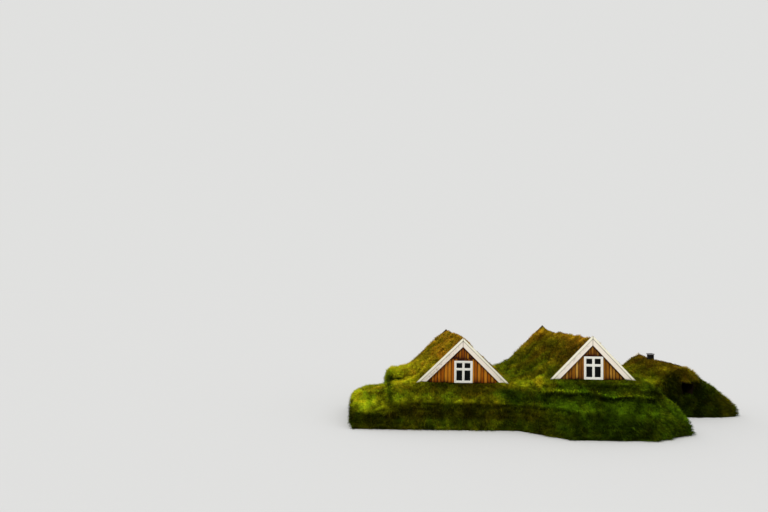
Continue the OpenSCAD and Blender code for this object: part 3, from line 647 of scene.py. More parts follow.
PLACES = [
    # Dry growth that hangs over the hatch, and the brow above it
    ((HATCH_MIDDLE, HATCH_LOW.y, HATCH_HIGH.z + 0.25), (0.42, 0.5, 0.3), 0.98, 1.05, 1.9, 0.02),
    ((7.62, 0.45, 2.28), (0.4, 0.6, 0.35), 0.9, 0.9, 1.2, 0.12),
    # The low front end of the kitchen's ridge, and the lighter edge of the roof beside it
    ((7.04, 0.8, 2.75), (0.4, 0.9, 0.3), 0.72, 0.72, 0.5, -0.07),
    ((6.6, 0.85, 2.4), (0.3, 0.55, 0.16), 0.7, 0.95, 0.8),
    # Long dark growth on the kitchen's front, and its lighter left corner
    ((7.0, 0.1, 1.0), (1.9, 0.5, 1.0), 0.15, 0.32, 1.7),
    ((5.6, 0.3, 1.72), (0.75, 0.75, 0.4), 0.62, 1.05),
    ((6.6, 0.1, 1.75), (0.4, 0.6, 0.35), 0.2, 0.25, 1.5),
    # A paler spot below the hatch, and painted shade beside it
    ((7.0, -0.2, 1.06), (0.3, 0.4, 0.12), 0.45, 0.65, 0.8),
    ((HATCH_LOW.x - 0.05, HATCH_LOW.y - 0.2, 1.45), (0.2, 0.4, 0.35), 0.5, 0.12, 1.3),
    ((HATCH_HIGH.x + 0.05, HATCH_LOW.y - 0.2, 1.5), (0.2, 0.4, 0.35), 0.5, 0.12, 1.3),
    # The left wall's high part, with painted shade on its side and painted sunlight on the slope before it,
    # with a short-grown head
    ((-8.52, 2.0, 1.7), (0.17, 2.2, 0.5), 0.1, 0.5, 1.1),
    ((-7.9, -0.8, 1.7), (0.75, 0.9, 0.35), 0.5, 1.3),
    ((-8.1, 0.45, 1.62), (0.5, 0.35, 0.2), 0.45, 1.05, 0.4, -0.02),
    # The crease at the foot of the high part, which closes to the right, with painted shadow in it
    ((-8.45, 1.25, 1.58), (0.25, 0.25, 0.15), 0.2, 0.12, 0.5, -0.05),
    ((-8.2, 1.05, 1.62), (0.22, 0.22, 0.12), 0.3, 0.08, 0.4, -0.08),
    ((-7.95, 0.9, 1.67), (0.22, 0.2, 0.1), 0.3, 0.08, 0.4, -0.08),
    ((-7.68, 0.75, 1.73), (0.22, 0.2, 0.08), 0.3, 0.08, 0.4, -0.07),
    ((-7.42, 0.6, 1.79), (0.2, 0.18, 0.06), 0.3, 0.12, 0.4, -0.05),
    # The crease between the low bank and the left wall, with painted shade in it
    ((-8.45, -0.4, 1.42), (0.12, 1.5, 0.2), 0.2, 0.38, 1.0, -0.03),
    ((-8.5, -2.3, 1.2), (0.13, 0.8, 0.4), 0.2, 0.38, 1.0, -0.06),
    # Bright growth on the low bank and between the houses, and painted shade before the left gable
    ((-9.6, -2.8, 0.95), (0.5, 0.5, 0.25), 0.45, 1.15),
    ((-2.2, -2.2, 1.92), (0.9, 0.8, 0.22), 0.4, 1.2),
    ((-2.85, -1.6, 1.87), (0.5, 0.5, 0.2), 0.35, 1.15),
    ((-2.9, -2.6, 1.6), (0.6, 0.5, 0.15), 0.2, 0.36, 0.8),
    ((-1.5, -3.1, 1.85), (0.7, 0.4, 0.15), 0.35, 0.85),
    # Bright growth beside the foot of the right roof
    ((-1.35, -2.7, 2.12), (0.5, 0.8, 0.24), 0.6, 1.1),
    ((-0.85, -3.6, 1.84), (0.6, 0.4, 0.1), 0.35, 1.1),
    # Painted shade on the growth before the right gable
    ((2.1, -3.35, 1.95), (1.0, 0.5, 0.17), 0.2, 0.3),
    ((3.3, -3.5, 2.0), (0.35, 0.5, 0.15), 0.2, 0.62),
    ((2.9, -3.6, 1.8), (0.9, 0.5, 0.09), 0.2, 0.45),
    # Painted shade in the corner where the two banks meet, and the darker slope to its right
    ((-2.6, -3.0, 1.38), (0.65, 0.5, 0.22), 0.05, 0.3, 1.0, -0.03),
    ((-1.7, -3.6, 1.45), (1.0, 0.5, 0.25), 0.1, 0.3),
    # The dark right end of the upper bank
    ((4.1, -3.1, 1.75), (0.3, 0.6, 0.35), 0.2, 0.25),
    # Sparse dark growth on the right roof, with painted shade beside its gable, and along its left slope
    ((0.0, -1.9, 3.5), (0.9, 1.3, 0.6), 0.65, 0.42, 0.8),
    ((0.4, 1.1, 3.6), (0.5, 2.2, 0.45), 0.65, 0.5),
    # Low growth on the right slopes of the two houses, lowest along the left house's ridge
    ((-3.7, 0.0, 3.0), (0.8, 2.2, 0.8), 0.75, 0.6, 0.5, -0.03),
    ((-4.15, 0.4, 3.55), (0.45, 2.4, 0.4), 0.6, 0.5, 0.35, -0.05),
    ((2.1, -1.5, 3.4), (0.8, 2.2, 0.8), 0.75, 0.6, 0.6, -0.02),
]
PLACES = [whole_place(*place) for place in PLACES]
# The growth before the gables is short, lower than their feet, and darkened by painted shade
for name, dry, light in (("left_front", 0.5, 0.4), ("right_front", 0.25, 0.48)):
    low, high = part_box(name + "_barge_boards")
    foot = ((low.x + high.x) / 2, low.y - 0.2, low.z)
    PLACES.append((foot, (0.6 * (high.x - low.x), 0.35, 0.15), dry, light, 0.6, -0.07))
# The growth is short along the ridges, and shorter still before the rear peaks
for house, light in (("left", 0.85), ("right", 0.85), ("kitchen", 0.5)):
    low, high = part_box(house + "_roof_turf")
    peak = Vector(((low.x + high.x) / 2, high.y, high.z - 0.1))
    ridge = (peak.x, (low.y + high.y) / 2, peak.z - 0.05)
    PLACES.append((ridge, (0.3, 0.6 * (high.y - low.y), 0.4), 0.85, light, 0.45, -0.05))
    PLACES.append(((peak.x, peak.y - 0.5, peak.z), (0.4, 0.85, 0.35), 0.85, light, 0.25, -0.03))


def cad_triangles(nodes):
    """Points and triangles of several CAD nodes together, with the corners that triangles share made one."""
    points, faces, start = [], [], 0
    for node in nodes:
        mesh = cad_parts[node].data
        points.append(mesh_points(mesh))
        faces.append(mesh_triangles(mesh) + start)
        start += len(mesh.vertices)
    places = np.round(np.concatenate(points), 4)
    corners, joined = np.unique(places, axis=0, return_inverse=True)
    return corners, joined.reshape(-1)[np.concatenate(faces)]


def surface_tree(points, faces):
    return BVHTree.FromPolygons(points.tolist(), faces.tolist())


def distances(tree, points, limit):
    """How far each point is from a surface, up to a limit."""
    found = (tree.find_nearest(Vector(p), limit)[3] for p in points)
    return np.array([limit if away is None else away for away in found])


def clear_of(tree, points, near, far):
    """The smoothstep of the distance from a surface, from 0 at the near one to 1 at the far one."""
    return smoothstep(near, far, distances(tree, points, far))


def even_net(name, nodes):
    """One closed net of even cells round the solids of some CAD nodes, which rounds their edges."""
    points, faces = cad_triangles(nodes)
    mesh = bpy.data.meshes.new(name)
    mesh.from_pydata(points.tolist(), [], faces.tolist())
    mesh.validate()
    holder = new_object(name, mesh)
    net = holder.modifiers.new("net", "REMESH")
    net.mode = "VOXEL"
    net.voxel_size = CELL
    made = bpy.data.meshes.new_from_object(holder.evaluated_get(bpy.context.evaluated_depsgraph_get()))
    bpy.data.objects.remove(holder)
    bpy.data.meshes.remove(mesh)
    made.name = name
    return made


def settled(points, normals, edges, share):
    """Each point goes that share of the way to the mean of its neighbours, round after round, which fills
    the creases between the pieces. What would move it inwards counts for a quarter, so ridges keep."""
    near = np.concatenate([edges[:, 0], edges[:, 1]])
    far = np.concatenate([edges[:, 1], edges[:, 0]])
    count = np.bincount(near, minlength=len(points)).clip(1)
    for _ in range(SLUMP_ROUNDS):
        mean = [np.bincount(near, points[far, axis], len(points)) / count for axis in range(3)]
        step = np.stack(mean, 1) - points
        inwards = np.minimum((step * normals).sum(1), 0)
        step -= (1 - SLUMP_INWARDS) * inwards[:, None] * normals
        points = points + share[:, None] * step
    return points


def ledges(points, normals):
    """What sheep and frost do to the banks in front. Small treads come from the height, warped and divided
    by a tread's height to a phase p from 0 to 1, as 2 p - 1, which also paints light at the top of a tread
    and shade at its foot. A ledge stands out towards its lip, where d, the height over it, is 0, as exp(-(d
    / LEDGE_HIGH)^2). The lip gets painted light as exp(-((d - LIP_AT) /
    LIP_HIGH)^2), and the hollow below it gets painted shade. Returns how far all of it stands out, how much
    painted light and shade lighten and darken the growth, and how much more painted light the blades on the
    lips get."""
    front = smoothstep(*FACES_FRONT, -normals[:, 1]) * smoothstep(*LIES_BEFORE, points[:, 1])
    front *= smoothstep(*LEVEL, normals[:, 2])
    warp = 0.1 * lattice(points * [0.7, 0.5, 0.2], 0.8, 11) + 0.06 * lattice(points, 0.4, 12)
    phase = ((points[:, 2] + TREAD_WARP * warp) / TREAD_HIGH) % 1
    tread = front * smoothstep(*TREAD_BREAKS, lattice(points * [0.5, 1, 1], 0.5, 13))
    out = tread * TREAD_DEEP * (2 * phase - 1)
    tone = tread * TREAD_SHADING * (2 * phase - 1)
    lit = np.zeros(len(points))
    for strength, line in LEDGES:
        x, height = np.array(line).T
        above = points[:, 2] + LEDGE_WARP * warp - np.interp(points[:, 0], x, height)
        start, end = x[0], x[-1]
        along = plateau(points[:, 0], start - LEDGE_END, start + LEDGE_END, end - LEDGE_END, end + LEDGE_END)
        share = front * along * strength
        bulge = np.exp(-((above / LEDGE_HIGH) ** 2)) * np.where(above > 0, 1, LEDGE_BELOW)
        out += share * LEDGE_DEEP * bulge
        lit += share * np.exp(-(((above - LIP_AT) / LIP_HIGH) ** 2))
        tone -= share * HOLLOW_SHADE * plateau(above, *HOLLOW)
    return out, tone, lit


def spread_between(spots, corners, points, values):
    """Values at spots inside triangles: those at a triangle's corners, shared by the areas facing them."""
    a, b, c = (points[corners[:, k]] for k in range(3))
    u, v, w = b - a, c - a, spots - a
    uu, uv, vv = (u * u).sum(1), (u * v).sum(1), (v * v).sum(1)
    wu, wv = (w * u).sum(1), (w * v).sum(1)
    whole = np.maximum(uu * vv - uv * uv, 1e-14)
    second = (vv * wu - uv * wv) / whole
    third = (uu * wv - uv * wu) / whole
    shares = np.stack([1 - second - third, second, third], 1).clip(0, 1)
    shares /= shares.sum(1, keepdims=True)
    return (shares[:, :, None] * values[corners]).sum(1)


class Ground:
    """The grown surface over all the turf together. The skin of each piece follows it, so that neighbours
    flow into each other without a seam."""

    def __init__(self):
        mesh = even_net("ground", TURF)
        self.flat = mesh_points(mesh)
        self.corners = mesh_triangles(mesh)
        self.tree = surface_tree(self.flat, self.corners)
        self.timber = surface_tree(*cad_triangles(TIMBER))
        free = clear_of(self.timber, self.flat, *FREE_OF_TIMBER)
        above = smoothstep(0, SLUMP_FOOT, self.flat[:, 2])
        slump = SLUMP_LEFT + (SLUMP_REST - SLUMP_LEFT) * smoothstep(*SLUMP_CHANGE, self.flat[:, 0])
        edges = read(mesh.edges, "vertices", 2, int)
        grown = settled(self.flat, mesh_normals(mesh), edges, slump * free * above)
        mesh.vertices.foreach_set("co", grown.ravel())
        mesh.update()
        normals = mesh_normals(mesh)
        swell = patches(grown, TUSSOCKS)
        # How the banks stand out, and the painted light and shade of their treads and ledges
        step, tone, _ = ledges(grown, normals)
        out = (swell + step) * free * smoothstep(0, LUMP_FOOT, grown[:, 2])
        out += sum(push * nearness(grown, centre, reach) for centre, reach, *_, push in PLACES)
        self.grown = grown + normals * out[:, None]
        self.grown[:, 2] = np.maximum(self.grown[:, 2], 0)
        self.growth = self.growth_at(grown, normals, swell, tone)
        self.shelter = self.sheltering()
        bpy.data.meshes.remove(mesh)

    def growth_at(self, points, normals, swell, tone):
        """How dry the growth is, how light it is painted, as painted light and shade with the growth's own
        tone, how steep the ground and how long the blades: the pieces' own levels, each weighted by exp(-(d
        / GROWTH_BLEND)^2) of the distance d from that piece, then the places of their own, random patches,
        the painted light and shade of the treads and ledges, painted shade in the hollows between tussocks,
        and painted shade on steep ground."""
        total = np.zeros((len(points), 3))
        z = points[:, 2]
        for name, levels in GROWTH.items():
            away = distances(surface_tree(*cad_triangles([name])), self.flat, GROWTH_REACH)
            weight = np.exp(-((away / GROWTH_BLEND) ** 2))
            height, dry, light = np.array(levels).T
            own = np.stack([np.interp(z, height, dry), np.interp(z, height, light), np.ones(len(z))], 1)
            total += weight[:, None] * own
        dry, light = (total[:, :2] / total[:, 2:]).T
        length = np.ones(len(points))
        for centre, reach, its_dry, its_painted_light_and_tone, its_length, _ in PLACES:
            share = nearness(points, centre, reach)
            dry += share * (its_dry - dry)
            light += share * (its_painted_light_and_tone - light)
            length += share * (its_length - length)
        dry = dry + patches(points, DRY_PATCHES)
        hollow_shade = 1 + SWELL_LIGHT * swell.clip(*SWELL_RANGE)
        light = light * hollow_shade * (1 + patches(points, LIGHT_PATCHES)) * (1 + tone)
        steep = smoothstep(*STEEP, normals[:, 2])
        return np.stack([dry.clip(*DRY_RANGE), light * (1 - STEEP_SHADE * steep), steep, length], 1)

    def sheltering(self):
        """A surface of the grown ground and all timber, which lines into the open air may meet."""
        points, faces = cad_triangles(TIMBER)
        both = np.concatenate([self.grown, points])
        return surface_tree(both, np.concatenate([self.corners, faces + len(self.grown)]))

    def open_air(self, points, normals):
        """Whether a line from just over each point, between the way it faces and straight up, is free."""
        ways = normals + [0, 0, SKYWARD]
        starts = points + OVER_GROUND * normals
        met = (self.shelter.ray_cast(Vector(s), Vector(w))[0] for s, w in zip(starts, ways))
        return np.array([spot is None for spot in met])

    def skin(self, node):
        """The piece's own net, a little swollen, with its points moved as the ground's nearest point q0
        moves to q1: onto q1 close to the ground's surface, and by q1 - q0, fading inwards, further in."""
        mesh = even_net(node + "_skin", [node])
        points = mesh_points(mesh) + LAP * mesh_normals(mesh)
        found = [self.tree.find_nearest(Vector(p)) for p in points]
        spot = np.array([hit[0] for hit in found])
        corner = self.corners[[hit[2] for hit in found]]
        moved = spread_between(spot, corner, self.flat, np.column_stack([self.grown, self.growth]))
        away = np.linalg.norm(points - spot, axis=1)[:, None]
        near = 1 - smoothstep(*SKIN_LIES, away)
        fade = 1 - smoothstep(*SKIN_MOVES, away)
        points = points + near * (moved[:, :3] - points) + (1 - near) * fade * (moved[:, :3] - spot)
        points[:, 2] = np.maximum(points[:, 2], 0)
        mesh.vertices.foreach_set("co", points.ravel())
        for name, values in zip(("dry", "light", "steep"), moved[:, 3:6].T):
            mark_points(mesh, name, values)
        mesh.polygons.foreach_set("use_smooth", [True] * len(mesh.polygons))
        mesh.update()
        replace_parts(add_object(mesh.name, mesh, soil), node)
        self.sow(node, mesh_triangles(mesh), points, moved[:, 3:])

    def sow(self, node, corners, points, growth):
        """Tufts at random places on the skin, as many on each square metre, where it lies in the open air.
        Upright faces at the back and the sides have fewer, so that the laid turf shows."""
        tri = points[corners]
        cross = np.cross(tri[:, 1] - tri[:, 0], tri[:, 2] - tri[:, 0])
        area = np.linalg.norm(cross, axis=1) / 2
        normal = cross / np.maximum(2 * area, 1e-12)[:, None]
        middle = tri.mean(1)
        keep = (normal[:, 2] > SOWN_UPWARD) & (middle[:, 2] > SOWN_HEIGHT) & (area > SOWN_AREA)
        keep[keep] = self.open_air(middle[keep], normal[keep])
        corners, tri, normal, area = corners[keep], tri[keep], normal[keep], area[keep]
        laid = smoothstep(*LAID_UPWARD, normal[:, 2]) * smoothstep(*LAID_BACKWARD, normal[:, 1])
        area = area * (1 - LAID_BARE * laid)
        rng = seeded(node)
        wanted = int(area.sum() * TUFTS)
        pick = np.searchsorted(np.cumsum(area), rng.random(wanted) * area.sum()).clip(0, len(area) - 1)
        a, b = rng.random((2, wanted, 1))
        a, b = np.where(a + b > 1, 1 - a, a), np.where(a + b > 1, 1 - b, b)
        root = tri[pick, 0] + a * (tri[pick, 1] - tri[pick, 0]) + b * (tri[pick, 2] - tri[pick, 0])
        levels = spread_between(root, corners[pick], points, growth)
        clear = clear_of(self.timber, root, *CLEAR_OF_TIMBER)
        lit = ledges(root, normal[pick])[2]
        tall = BLADE_LONG * (BLADE_SHORT + (1 - BLADE_SHORT) * clear) * levels[:, 3] * (1 - LIP_SHORT * lit)
        # Painted light on the blades along the lips
        levels[:, 1] *= 1 + LIP_LIT * lit
        name = node.replace("_turf", "").replace("_wall", "") + "_grass"
        add_blades(name, root, normal[pick], tall, levels, rng)


def add_blades(name, root, normal, tall, growth, rng):
    """Tufts of blades. A blade is a kite from its root r over two shoulders to its tip: the shoulders lie at
    r + 0.5 L a, half a width to each side, and the tip at r + 0.5 L a + 0.5 L (a + d), where a is its way
    of growing, between the ground's normal and straight up, and d bends it downhill. Growth that is longer
    than usual hangs instead."""
    count = len(root)
    lean = np.stack([lattice(root, LEAN_CELL, seed) for seed in LEAN_SEEDS], 1)
    tall = tall * (1 + patches(root, LONG_PATCHES)) * rng.uniform(*TUFT_TALL, count)
    dry = growth[:, 0] + rng.normal(0, TUFT_DRY, count)
    # How light each tuft is painted: painted light and shade with the growth's own tone, and random tone
    light = growth[:, 1] * (1 + patches(root, TUFT_PATCHES)) * rng.uniform(*TUFT_LIGHT, count)
    hang = (growth[:, 3:] - 1).clip(0, 1)
    tufts = (root, normal, lean, tall, dry, light, hang)
    root, normal, lean, tall, dry, light, hang = (np.repeat(values, BLADES, 0) for values in tufts)
    root = root + rng.normal(0, TUFT_WIDE, root.shape)
    tall = (0.5 * tall * rng.uniform(*LENGTHS, len(root)))[:, None]
    flat = normal[:, 2:].clip(0, 1)
    downhill = normal * [1, 1, 0]
    downhill /= np.linalg.norm(downhill, axis=1, keepdims=True) + 1e-6
    grow = normal * (1 - 0.4 * flat) + [0, 0, 0.2] + 0.6 * flat * [0, 0, 1] + 0.45 * lean
    grow += hang * (0.35 * downhill - [0, 0, 1.3]) + rng.normal(0, GROW_UNEVEN, root.shape)
    grow = unit(grow)
    bend = 0.5 * downhill + 0.5 * lean + rng.normal(0, BEND_UNEVEN, root.shape)
    bend -= [0, 0, 0.6] * (1.3 - flat)
    side = unit(np.cross(grow, rng.normal(0, 1, root.shape)))
    side *= BLADE_WIDE / 2 * rng.uniform(*WIDTHS, (len(root), 1))
    shoulder = root + tall * grow
    corners = np.stack([root, shoulder + side, shoulder - side, shoulder + tall * (grow + bend)], 1)
    corners = corners.clip(BOX_LOW - STAND_PROUD, BOX_HIGH + STAND_PROUD)
    corners[:, :, 2] = corners[:, :, 2].clip(BLADE_FLOOR)
    band = (light - BAND_DARKEST) / BAND_STEP + rng.uniform(-0.5, 0.5, len(root))
    band = np.round(band).clip(0, BANDS - 1)
    across = dry.clip(*DRY_RANGE)[:, None] + MAP_ACROSS
    upward = (band[:, None] + MAP_UP) / BANDS
    blades_mesh(name, corners, np.stack([across, upward], -1))


def blades_mesh(name, corners, places):
    """Kites of four corners, each as two triangles, with a place on the blade map at each corner."""
    count = len(corners)
    kite = np.array([0, 1, 2, 2, 1, 3])
    index = (np.arange(count)[:, None] * 4 + kite).ravel()
    mesh = bpy.data.meshes.new(name)
    mesh.vertices.add(count * 4)
    mesh.vertices.foreach_set("co", corners.ravel())
    mesh.loops.add(len(index))
    mesh.loops.foreach_set("vertex_index", index)
    mesh.polygons.add(count * 2)
    mesh.polygons.foreach_set("loop_start", np.arange(count * 2) * 3)
    mesh.uv_layers.new(name=BLADE_MAP).uv.foreach_set("vector", places[:, kite].ravel())
    mesh.update(calc_edges=True)
    add_object(name, mesh, blades)


ground = Ground()
for node in TURF:
    ground.skin(node)

# Sizes of the boards, in metres

# Thickness of the lapping course and of the cladding boards, their widths below and above, and their gaps
WALL_BOARD = 0.028
CLADDING = 0.008
BOARD_WIDE = 0.165
UPPER_WIDE = 0.132
BOARD_GAP = 0.008
# How uneven the boards are: in width, as a share of it, at the foot, and off the wall's face
WIDTH_UNEVEN = 0.16
FOOT_UNEVEN = 0.008
FACE_UNEVEN = 0.0025
# The rounding of a board's front corners, the crown between them, and the least height of a board
BOARD_ROUND = 0.004
BOARD_CROWN = 0.0015
BOARD_LEAST = 0.004
# How close a joint comes to an opening, the shortest board beside one, and the least of one under the slope,
# measured a little in from its sides
JOINT_CLEAR = 0.035
SHORT_BOARD = 0.03
SHORT_TIP = 0.02
TIP_INSET = 0.01
# The share of the gable's slope at which the upper boards start, and how far the lower ones go on behind
COURSE_SHARE = 0.536
COURSE_LAP = 0.02
# The upper boards are redder and darker
UPPER_STAIN = 0.22
# How stained a board's foot is, how uneven that is from board to board, how far stains reach up from the
# foot, and how far painted shade reaches down from the barge boards and from what ends a board above
FOOT_STAIN = 0.75
WET = (0.5, 1.3)
STAIN_UP = 0.1
SHADE_DOWN = 0.06

# Width, thickness and rounding of the barge boards, and of the strips on them
BARGE_WIDE = 0.312
BARGE_THICK = 0.032
BARGE_EDGE = 0.003
STRIP_WIDE = 0.095
STRIP_THICK = 0.025
STRIP_EDGE = 0.004
# The groove below the strip: its width and depth, the step at its edges, and how far the painted shadow in
# it fades
GROOVE_WIDE = 0.012
GROOVE_DEEP = 0.005
GROOVE_STEP = 0.001
GROOVE_FADE = 0.025
PEAK_JOINT = 0.006
# How stained the ends of the slopes' boards are, and over what share of the length: at the foot and the peak
FOOT_WORN = (0.45, 0.03)
PEAK_WORN = (0.5, 0.006)
# How dark the backs of the barge boards are, which the weather has left bare
BARE_BACKS = {"left_front": 0.6, "right_front": 0.6, "left_back": 1.0, "right_back": 1.0, "kitchen_back": 0}

# The rounding of casements and door planks, and the cut edges of casings
JOINERY_EDGE = 0.002
MOULDED = 0.004
# Window casings, casements, the post between them and the bar above them
CASING = 0.065
CASING_DEEP = 0.045
STILE = 0.045
STILE_DEEP = 0.031
STILE_EDGE = 0.003
PUTTY_WIDE = 0.01
PUTTY_DEEP = 0.02
PLAY = 0.002
UPPER_PANE = 0.25
PANE_BAR = 0.115
POST_DEEP = 0.038
FRAME_LAP = 0.11
# How far the gable's boards reach behind a window's casing
WINDOW_LAP = 0.02

# The door's casing, and how far it goes down past the leaf
DOOR_CASING = 0.085
DOOR_CASING_DEEP = 0.03
DOOR_SILL = 0.1
# How far the opening in the boards reaches past the leaf, at its sides and top, and below it
DOOR_POST = 0.06
DOOR_FOOT = 0.11
LEAF_PLANKS = 6
LEAF_THICK = 0.03
# Battens behind the leaf: their places as shares of its height, their height and thickness, and how far
# they end from its sides
BATTENS = (0.12, 0.8)
BATTEN_HIGH = 0.11
BATTEN_THICK = 0.034
BATTEN_INSET = 0.05
# Hinges: their places as shares of the leaf's height, how far they end from its sides and how far their
# middle lies before its face; half their width at the post, and how much narrower that gets
HINGES = (0.16, 0.84)
HINGE_ENDS = (0.01, 0.2)
HINGE_OUT = 0.004
HINGE_HALF = 0.0225
HINGE_NARROWS = 0.015
# The ring handle: radius of the ring and of its iron, its middle's distance from the leaf's side and face
RING = 0.045
RING_IRON = 0.0045
RING_INSET = 0.09
RING_OUT = 0.012

# Boards of the gables


class Gable:
    """The boarded end of a house, measured from its CAD pieces; out is -1 in front and 1 at the back."""

    def __init__(self, house, end):
        self.name = house + "_" + end
        self.out = -1 if end == "front" else 1
        low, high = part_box(self.name + "_gable")
        barge_low, barge_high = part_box(self.name + "_barge_boards")
        self.middle = (low.x + high.x) / 2
        self.half = (high.x - low.x) / 2
        self.foot, self.top = low.z, high.z
        self.eave, self.tip = barge_low.z, barge_high.z
        self.reach = (barge_high.x - barge_low.x) / 2
        self.verge = barge_low.y if self.out < 0 else barge_high.y
        self.course = self.eave + COURSE_SHARE * (self.tip - self.eave)
        self.upper_face = low.y if self.out < 0 else high.y
        self.face = self.upper_face - self.out * WALL_BOARD
        self.openings = []

    def line(self, x):
        """Height of the sloping edge of the boards over x."""
        return self.top - abs(x - self.middle) * (self.top - self.eave) / self.half

    def barge_line(self, x):
        """Height of the barge boards' lower edge over x."""
        pitch = self.pitch()
        return self.tip - BARGE_WIDE / np.cos(pitch) - abs(x - self.middle) * np.tan(pitch)

    def pitch(self):
        return np.arctan2(self.tip - self.eave, self.reach)

    def strips(self, low, high, wide, rng):
        """Board after board from side to side, less the openings, as left, right, lower and upper edge."""
        count = int(round(2 * self.half / wide))
        edges = np.linspace(self.middle - self.half, self.middle + self.half, count + 1)
        edges[1:-1] += rng.uniform(-WIDTH_UNEVEN, WIDTH_UNEVEN, count - 1) * wide
        sides = [x for hole in self.openings for x in hole[:2]]
        edges = sorted([e for e in edges if all(abs(e - s) > JOINT_CLEAR for s in sides)] + sides)
        rows = []
        for left, right in zip(edges, edges[1:]):
            holes = sorted(h[2:] for h in self.openings if h[0] < (left + right) / 2 < h[1])
            start = low
            reach = max(self.line(left + TIP_INSET), self.line(right - TIP_INSET))
            for hole_low, hole_high in holes + [(high, high)]:
                end = min(hole_low, high)
                if end > start + SHORT_BOARD and reach > start + SHORT_TIP:
                    rows.append((left, right, start, end))
                start = max(start, hole_high)
        return np.array(rows)

    def planks(self, strips, face, thick, rng, proud=CLADDING):
        """Upright boards. A board's section has rounded front corners and a slight crown; it is carried up
        the board, z = low + t (top(x) - low), where top(x) is the lower of the strip's end and the gable's
        edge. Returns the points and how stained each is, towards the foot and the board's own edges,
        together with painted shade below the barge board and below what ends the board above."""
        turn, crown = BOARD_ROUND, BOARD_CROWN
        across = np.array([0, 0, turn, 0.07, 0.17, 0.5, 0.83, 0.93, 1 - turn, 1, 1])
        depth = np.array([-thick, -turn, 0, 0, 0, crown, 0, 0, 0, -turn, -thick])
        edge = np.array([1, 1, 0.9, 0.5, 0.1, 0, 0.1, 0.5, 0.9, 1, 1])
        rise = np.array([0, 0.03, 0.08, 0.16, 0.35, 0.65, 0.84, 0.93, 0.98, 1])
        left, right, low, high = strips.T[:, :, None, None]
        left = left + BOARD_GAP / 2
        wide = right - BOARD_GAP / 2 - left
        x = np.broadcast_to(left + wide * across, (len(strips), len(rise), len(across)))
        top = np.minimum(high, self.line(x))
        low = low + rng.uniform(0, FOOT_UNEVEN, (len(strips), 1, 1))
        z = low + rise[:, None] * np.maximum(top - low, BOARD_LEAST)
        warp = rng.uniform(-FACE_UNEVEN, FACE_UNEVEN, (len(strips), len(rise), 1))
        y = face + self.out * (proud + depth + warp)
        wet = rng.uniform(*WET, (len(strips), 1, 1))
        foot = np.exp(-(z - low) / STAIN_UP)
        # Painted shade below the barge boards, below the upper course's lap and below openings
        under_shade = np.exp(-(np.minimum(top, self.barge_line(x)) - z).clip(0) / SHADE_DOWN)
        stain = (FOOT_STAIN * wet * foot + under_shade + edge).clip(0, 1)
        return np.stack([x, y, z], -1), stain


def clad(gable, finish):
    """The lower boards of a gable, and the upper ones that lap over them."""
    rng = seeded(gable.name)
    shape = Shape(len(gable.name))
    lower = gable.strips(gable.foot, gable.course + COURSE_LAP, BOARD_WIDE, rng)
    upper = gable.strips(gable.course, gable.top, UPPER_WIDE, rng)
    for strips, face, more in ((lower, gable.face, 0.0), (upper, gable.upper_face, UPPER_STAIN)):
        points, stain = gable.planks(strips, face, CLADDING, rng)
        shape.add(points, stain=(stain + more).clip(0, 1))
    shape.make(gable.name + "_boards", finish, "gable_timber")


def down_slopes(gable, section):
    """A section carried down both slopes from the peak, given as depth, distance behind the front and stain
    with painted shade of each point. At depth d below the upper edge the line runs from d / cos(pitch) below
    the tip down to the foot's height, at (top - z) / tan(pitch) from the middle. It ends in a plumb joint at
    the peak and a level cut at the foot, and takes the stains and painted shade of its section and stains
    near both ends."""
    depth, behind, stains = np.array(section).T
    pitch = gable.pitch()
    top = gable.tip - depth / np.cos(pitch)
    along = np.array([0, 0.02, 0.3, 0.6, 0.88, 0.96, 1])[:, None]
    z = top + along * (gable.eave - top)
    out = PEAK_JOINT / 2 + (top - z) / np.tan(pitch)
    y = gable.verge - gable.out * np.broadcast_to(behind, z.shape)
    sides = [np.stack([gable.middle + side * out, y, z], -1) for side in (-1, 1)]
    ends = ((1 - along, *FOOT_WORN), (along, *PEAK_WORN))
    worn = sum(stain * np.exp(-away / share) for away, stain, share in ends)
    stain = np.broadcast_to((stains + worn).clip(0, 1), (2, *z.shape))
    return np.stack(sides), stain


def barge_boards(gable):
    """The barge boards, with painted shadow below the strip and in its groove, and the strip along their
    upper edge.
    """
    bare = BARE_BACKS[gable.name]
    front = STRIP_THICK
    back = front + BARGE_THICK
    sunk = front + GROOVE_DEEP
    groove = STRIP_WIDE + GROOVE_WIDE
    # Each point's stain: painted shadow below the strip and in its groove, bare wood at the back
    section = [
        (0, back, bare), (0, front, 0.3), (STRIP_WIDE, front, 0.85), (STRIP_WIDE + GROOVE_STEP, sunk, 0.85),
        (groove, sunk, 0.85), (groove + GROOVE_STEP, front, 0.5), (groove + GROOVE_FADE, front, 0.0),
        (BARGE_WIDE, front, 0.0), (BARGE_WIDE, back, bare),
    ]
    points, stain = down_slopes(gable, section)
    board = Shape(1).add(points, stain=stain)
    made = board.make(gable.name + "_barge_boards_made", board_white, "white_paint", BARGE_EDGE)
    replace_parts(made, gable.name + "_barge_boards")
    section = [(0, front, 0.2), (0, 0, 0), (STRIP_WIDE, 0, 0), (STRIP_WIDE, front, 0.2)]
    points, stain = down_slopes(gable, section)
    strip = Shape(2).add(points, stain=stain)
    strip.make(gable.name + "_barge_strips", strip_white, "white_paint", STRIP_EDGE)


# Windows and doors


def carried_round(corners, normal, section):
    """A section of (inset, height) points carried round four corners with mitres: corner + inset towards the
    middle along both sides + height along the normal. Shape (1, 4, points, 3)."""
    corners = np.array(corners, float)
    inward = unit(np.roll(corners, 1, 0) - corners) + unit(np.roll(corners, -1, 0) - corners)
    inset, height = np.array(section).T[:, :, None]
    return (corners[:, None] + inset * inward[:, None] + height * np.array(normal))[None]


